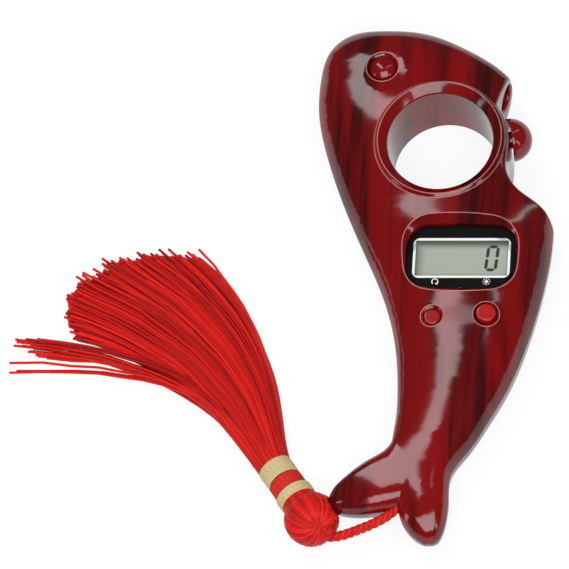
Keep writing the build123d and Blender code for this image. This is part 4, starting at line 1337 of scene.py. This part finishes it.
@dataclass
class Tassel:
    """The tassel: a ball of folded strands, three wound bands and a skirt of strands."""

    finishes: Finishes
    strands: StrandTree
    centre: Place = (-20.0507, -48.4166, 5.3)
    angle: float = 124.8
    dip: float = 6.0
    head_to_band: float = 4.9
    band_radii: tuple[float, float, float] = (3.7, 3.4, 3.4)
    band_lengths: tuple[float, float, float] = (2.3, 3.1, 3.9)
    ball: Ball = Ball()
    wound: Winding = Winding()
    fan: Fan = Fan()
    seed: int = 11

    YARN = "yarn_red"
    BANDS = (
        ("lower", "thread_gold", "thread_gold"),
        ("middle", "band_red", YARN),
        ("upper", "thread_gold", "thread_gold"),
    )

    def __post_init__(self) -> None:
        """Works out the tassel's own axes."""
        turn, dip = math.radians(self.angle), math.radians(self.dip)
        self.axis = np.array((math.cos(dip) * math.cos(turn), math.cos(dip) * math.sin(turn), -math.sin(dip)))
        self.side = np.array((math.sin(turn), -math.cos(turn), 0.0))
        self.up = np.cross(self.side, self.axis)
        self.middle = np.array(self.centre)

    def build(self) -> list[bpy.types.Object]:
        """Makes the head and the bands, which hang on the cord."""
        return [self.head(), *self.bands()]

    def arcs(self, radius: float, count: int) -> list[np.ndarray]:
        """Strands on the ball: circles through the bands' axis and the pole, without the bound part.

        Args:
            radius: the layer's radius, in millimetres.
            count: how many strands it has.

        Returns:
            Each strand's points from the ball's middle, in millimetres.
        """
        ball = self.ball
        start, end = self.axis, unit(ball.pole)
        chord = unit(end - start)
        half_way = (start + end) / 2
        rise = np.linalg.norm(half_way)
        first = half_way / rise
        second = np.cross(chord, first)
        half = np.linalg.norm(end - start) / 2
        bound = math.asin(self.band_radii[0] * ball.bound_share / ball.radius)
        paths = []
        for number in range(count):
            turn = math.tau * (number + 0.5) / count
            out = math.cos(turn) * first + math.sin(turn) * second
            centre = half_way - out * rise * math.cos(turn)
            reach = math.sqrt(1 - (rise * math.sin(turn)) ** 2)
            begin = math.atan2(rise * math.cos(turn), -half) % math.tau
            stop = math.atan2(rise * math.cos(turn), half)
            angles = np.linspace(begin, stop, ball.points)
            arc = centre + reach * (np.cos(angles)[:, None] * chord + np.sin(angles)[:, None] * out)
            near = np.arccos(np.clip(arc @ end, -1, 1))
            arc = arc * (1 - ball.dimple * np.exp(-((near / ball.dimple_width) ** 2)))[:, None]
            free = np.arccos(np.clip(arc @ start / np.linalg.norm(arc, axis=1), -1, 1)) > bound
            arc = arc[free] * radius
            paths.append(np.concatenate((self.lead(arc[0]), arc)))
        return paths

    def lead(self, place: np.ndarray) -> list[np.ndarray]:
        """The two points by which a strand goes from under the lowest band to its place on the ball."""
        spoke = place - self.axis * (place @ self.axis)
        collar = unit(spoke) * (self.band_radii[0] - self.ball.collar_inset)
        inside = collar + self.axis * (self.head_to_band + self.ball.lead_in)
        outside = collar * self.ball.collar_swell + self.axis * (self.head_to_band - self.ball.lead_out)
        return [inside, outside]

    @cached_property
    def shells(self) -> list[BVHTree]:
        """The surfaces of the two shells."""
        return [skin(node) for node in Housing.NODES]

    def clear_of_fluke(self, points: np.ndarray, room: float) -> np.ndarray:
        """Presses points out of the shells, so that the ball is dented where the fluke lies against it.

        Args:
            points: places in millimetres.
            room: distance to keep from the shells, in millimetres.

        Returns:
            The places, moved where they were too close.
        """
        moved = points.copy()
        for tree in self.shells:
            for number, point in enumerate(moved):
                found, normal, _, distance = tree.find_nearest(Vector(point * MM), self.ball.search * MM)
                if found is None:
                    continue
                gap = (Vector(point * MM) - found).dot(normal)
                signed = math.copysign(distance, gap) / MM
                if signed < room:
                    moved[number] = np.array(found) / MM + np.array(normal) * room
        return moved

    def head(self) -> bpy.types.Object:
        """The ball: strands that run from the bands to the place where the cord comes out, over a core."""
        ball = self.ball
        random = np.random.default_rng(self.seed)
        layers = ((ball.radius - ball.strand, ball.count), (ball.radius - ball.inner_depth, ball.inner_count))
        paths = []
        for layer, count in layers:
            for path in self.arcs(layer, count):
                waver = random.normal(0, ball.waver, (len(path), 3))
                waver[:2] = 0
                places = self.middle + path + waver
                paths.append(self.clear_of_fluke(places, ball.strand + ball.room) * MM)
        piece = polylines("tassel_head_strands", paths, random.uniform(*ball.shades, len(paths)))
        self.strands.grow(piece, self.finishes[self.YARN], ball.strand, ball.sides, ball.seed)
        return settle(piece, "tassel_head")

    def bands(self) -> list[bpy.types.Object]:
        """Three bands of thread wound round the neck."""
        wound = self.wound
        pieces = []
        start = self.head_to_band
        for (name, finish, slot), radius, length in zip(self.BANDS, self.band_radii, self.band_lengths):
            path = self.helix(start, radius, length)
            piece = polylines(f"tassel_band_{name}_wound", [path], [wound.shade])
            self.strands.grow(
                piece,
                self.finishes[finish],
                wound.thread,
                wound.sides,
                wound.seed,
                wound.waver,
                wound.waver_length,
            )
            pieces.append(settle(piece, f"tassel_band_{name}"))
            start += length
        return pieces

    def helix(self, start: float, radius: float, length: float) -> np.ndarray:
        """Touching turns of thread round the tassel's axis.

        Args:
            start: where the band begins along the axis, in millimetres.
            radius: the band's radius, in millimetres.
            length: the band's length, in millimetres.

        Returns:
            Points along the thread, in metres.
        """
        wound = self.wound
        turns = round(length / (wound.thread * wound.pitch))
        sweep = np.linspace(0, math.tau * turns, turns * wound.turn_points)
        inset = wound.inset * wound.thread
        along = start + inset + (length - 2 * inset) * sweep / sweep[-1]
        swell = 1 - wound.swell * (2 * (along - start) / length - 1) ** wound.swell_power
        reach = (radius - wound.thread) * swell
        ring = np.cos(sweep)[:, None] * self.side + np.sin(sweep)[:, None] * self.up
        return (self.middle + along[:, None] * self.axis + reach[:, None] * ring) * MM

    def skirt(self) -> bpy.types.Object:
        """The fan of strands, bending towards its tip and lying down on the table."""
        fan = self.fan
        random = np.random.default_rng(self.seed + 1)
        root = self.middle + self.axis * (self.head_to_band + sum(self.band_lengths) - fan.root_overlap)
        paths, shades = [], []
        for number in range(fan.count):
            paths.append(self.fan_strand(number, root, random) * MM)
            shades.append(random.uniform(0, 1))
        piece = polylines("tassel_skirt_strands", paths, shades, 1.0)
        self.strands.grow(
            piece, self.finishes[self.YARN], fan.strand, fan.sides, fan.seed, fan.waver, fan.waver_length
        )
        return settle(piece, "tassel_skirt")

    def fan_strand(self, number: int, root: np.ndarray, random: np.random.Generator) -> np.ndarray:
        """One strand of the skirt.

        Args:
            number: the strand's number; the first few stray from the fan.
            root: the middle of the skirt's root, in millimetres.
            random: where its chances come from.

        Returns:
            Its points, in millimetres.
        """
        fan = self.fan
        stray = number < fan.strays
        turn = math.pi - fan.stray_turn * number if stray else random.uniform(0, math.tau)
        out = math.sqrt(random.uniform(fan.least_out, 1))
        across, lift = out * math.cos(turn), out * math.sin(turn)
        start = root + self.side * across * fan.root_radius + self.up * lift * fan.root_radius
        first = start + self.axis * fan.first_reach + self.side * across * fan.first_spread
        aside = across * fan.bend_spread + random.normal(0, fan.bend_waver)
        bend = self.heading(fan.bend_angle, fan.bend_reach, aside, root)
        bend[2] = fan.bend_height + fan.bend_lift * lift + random.normal(0, fan.bend_lift_waver)
        if stray or (across < fan.lock_side and random.uniform() < fan.lock_share):
            long = fan.lock_length * random.normal(1.0, fan.lock_length_waver)
            angle = fan.stray_angle if stray else fan.lock_angle
            tip = self.heading(angle + random.normal(0, fan.lock_angle_waver), long, 0.0, root)
        else:
            spread = fan.right_spread if across > 0 else fan.left_spread
            aside = across * spread + random.normal(0, fan.spread_waver)
            fall = fan.right_fall if aside > fan.crown else fan.left_fall
            long = (fan.length - fall * (aside - fan.crown) ** 2) * random.normal(1.0, fan.length_waver)
            tip = self.heading(fan.angle, long, aside, root)
        height = fan.tip_height + fan.tip_lift * lift + random.normal(0, fan.tip_waver)
        tip[2] = max(fan.tip_least, height)
        share = np.linspace(0, 1, fan.points)[:, None]
        rest = 1 - share
        path = rest**3 * start + 3 * share * rest**2 * first + 3 * share**2 * rest * bend + share**3 * tip
        path[:, 2] = np.maximum(path[:, 2], fan.strand + fan.table_room)
        return path

    def heading(self, angle: float, length: float, across: float, root: np.ndarray) -> np.ndarray:
        """A place out from the skirt's root, level with it.

        Args:
            angle: the way out on the table's plan, in degrees.
            length: how far out, in millimetres.
            across: how far to the right of that way, in millimetres.
            root: the middle of the skirt's root, in millimetres.

        Returns:
            The place, in millimetres.
        """
        turn = math.radians(angle)
        way = np.array((math.cos(turn), math.sin(turn), 0.0))
        side = np.array((math.sin(turn), -math.cos(turn), 0.0))
        return root + way * length + side * across


@dataclass(frozen=True)
class Softbox:
    """A soft rectangular light that faces the counter: its place and size in metres, its power in watts."""

    name: str
    place: Place
    size: tuple[float, float]
    power: float

    def build(self) -> None:
        """Hangs the light."""
        data = bpy.data.lights.new(self.name, "AREA")
        data.shape = "RECTANGLE"
        data.size, data.size_y = self.size
        data.energy = self.power
        holder = show(self.name, data)
        holder.location = self.place
        holder.rotation_mode = "QUATERNION"
        holder.rotation_quaternion = Vector(self.place).to_track_quat("Z", "Y")


@dataclass
class Studio:
    """The camera, the soft lights and the white table."""

    distance: float = 1.4
    pixels_per_mm: float = 5.1707
    target: Place = (-29.05, 3.6, 0.0)
    right: Place = (0.9905, 0.0597, -0.1236)
    up: Place = (0.0003, 0.8995, 0.4368)
    sensor: float = 36.0
    ambient: float = 0.1
    table_half: float = 3.0
    table_level: float = -0.05
    table_grain: float = 0.4
    table_roughness: float = 0.8
    table_glow: float = 1.06
    table_glow_share: float = 0.8

    WHITE = (1.0, 1.0, 1.0)
    TABLE_TONES = ((0.86, 0.86, 0.86), (0.88, 0.88, 0.88))
    LAMPS = (
        Softbox("left_softbox", (-0.355, 0.44, 0.825), (0.22, 0.9), 3.1),
        Softbox("right_strip", (0.47, 0.44, 0.77), (0.045, 0.8), 0.6),
        Softbox("camera_fill", (0.16, -0.55, 0.95), (0.9, 0.7), 10.0),
        Softbox("front_right_strip", (0.80, -0.48, 0.52), (0.12, 0.5), 0.9),
        Softbox("front_left_strip", (-0.96, -0.35, 0.31), (0.15, 0.6), 1.1),
    )

    def build(self) -> None:
        """Sets the whole stage."""
        self.camera()
        for lamp in self.LAMPS:
            lamp.build()
        self.world()
        self.table()
        bpy.context.scene.view_settings.view_transform = "Standard"

    def camera(self) -> None:
        """Places the camera at the photograph's viewing angle."""
        data = bpy.data.cameras.new("camera")
        data.sensor_width = self.sensor
        data.lens = self.pixels_per_mm * self.distance / MM * self.sensor / IMAGE_PIXELS
        holder = show("camera", data)
        right, up = Vector(self.right), Vector(self.up)
        back = right.cross(up)
        turn = Matrix((right, up, back)).transposed().to_4x4()
        place = Vector(self.target) * MM + back * self.distance
        holder.matrix_world = Matrix.Translation(place) @ turn
        bpy.context.scene.camera = holder

    def world(self) -> None:
        """Even light from all round, white where the camera sees it."""
        world = bpy.data.worlds.new("studio")
        bpy.context.scene.world = world
        world.use_nodes = True
        graph = Graph(world.node_tree)
        seen = graph.node("ShaderNodeLightPath", output="Is Camera Ray")
        background = world.node_tree.nodes["Background"]
        graph.feed(background.inputs["Color"], self.WHITE)
        graph.feed(background.inputs["Strength"], self.ambient + (1 - self.ambient) * seen)

    def table(self) -> None:
        """A white table that keeps a light shadow and can be seen through from below."""
        half, level = self.table_half, self.table_level * MM
        corners = [(-half, -half, level), (half, -half, level), (half, half, level), (-half, half, level)]
        mesh = solid("table", corners, [(0, 1, 2, 3)])
        shader = Shader("table_white")
        grain = shader.noise((self.table_grain,) * 3)
        shader.dress(Base_Color=shader.mix(grain, *self.TABLE_TONES), Roughness=self.table_roughness)
        camera = shader.node("ShaderNodeLightPath", output="Is Camera Ray")
        rays = camera.link.node.outputs
        mirrored = Socket(shader, rays["Is Glossy Ray"])
        through = Socket(shader, rays["Is Transmission Ray"])
        seen = camera.most(mirrored).most(through)
        glow = shader.node("ShaderNodeEmission", {}, {"Color": self.WHITE, "Strength": self.table_glow})
        above = shader.blend(seen * self.table_glow_share, shader.lit, glow)
        below = shader.node("ShaderNodeNewGeometry", output="Backfacing")
        clear = shader.node("ShaderNodeBsdfTransparent")
        shader.close(shader.blend(below, above, clear))
        mesh.materials.append(shader.material)
        show("table", mesh)


def main() -> None:
    """Builds every sub-assembly in order."""
    logging.basicConfig(level=logging.INFO, format="%(message)s")
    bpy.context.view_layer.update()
    Studio().build()
    finishes = Finishes()
    strands = StrandTree()
    pieces = Mechanism(finishes).dress()
    pieces += Display(finishes).build()
    pieces.append(Rims(finishes, strands).build())
    cord = Cord(finishes, strands)
    tassel = Tassel(finishes, strands)
    hanging = tassel.build()
    pieces += [*hanging, tassel.skirt(), cord.build(hanging), cord.knot()]
    pieces += Housing(finishes).build()
    for piece in pieces:
        LOG.info("%s: %d faces", piece.name, len(piece.data.polygons))
    bpy.context.view_layer.update()


if __name__ == "__main__":
    main()
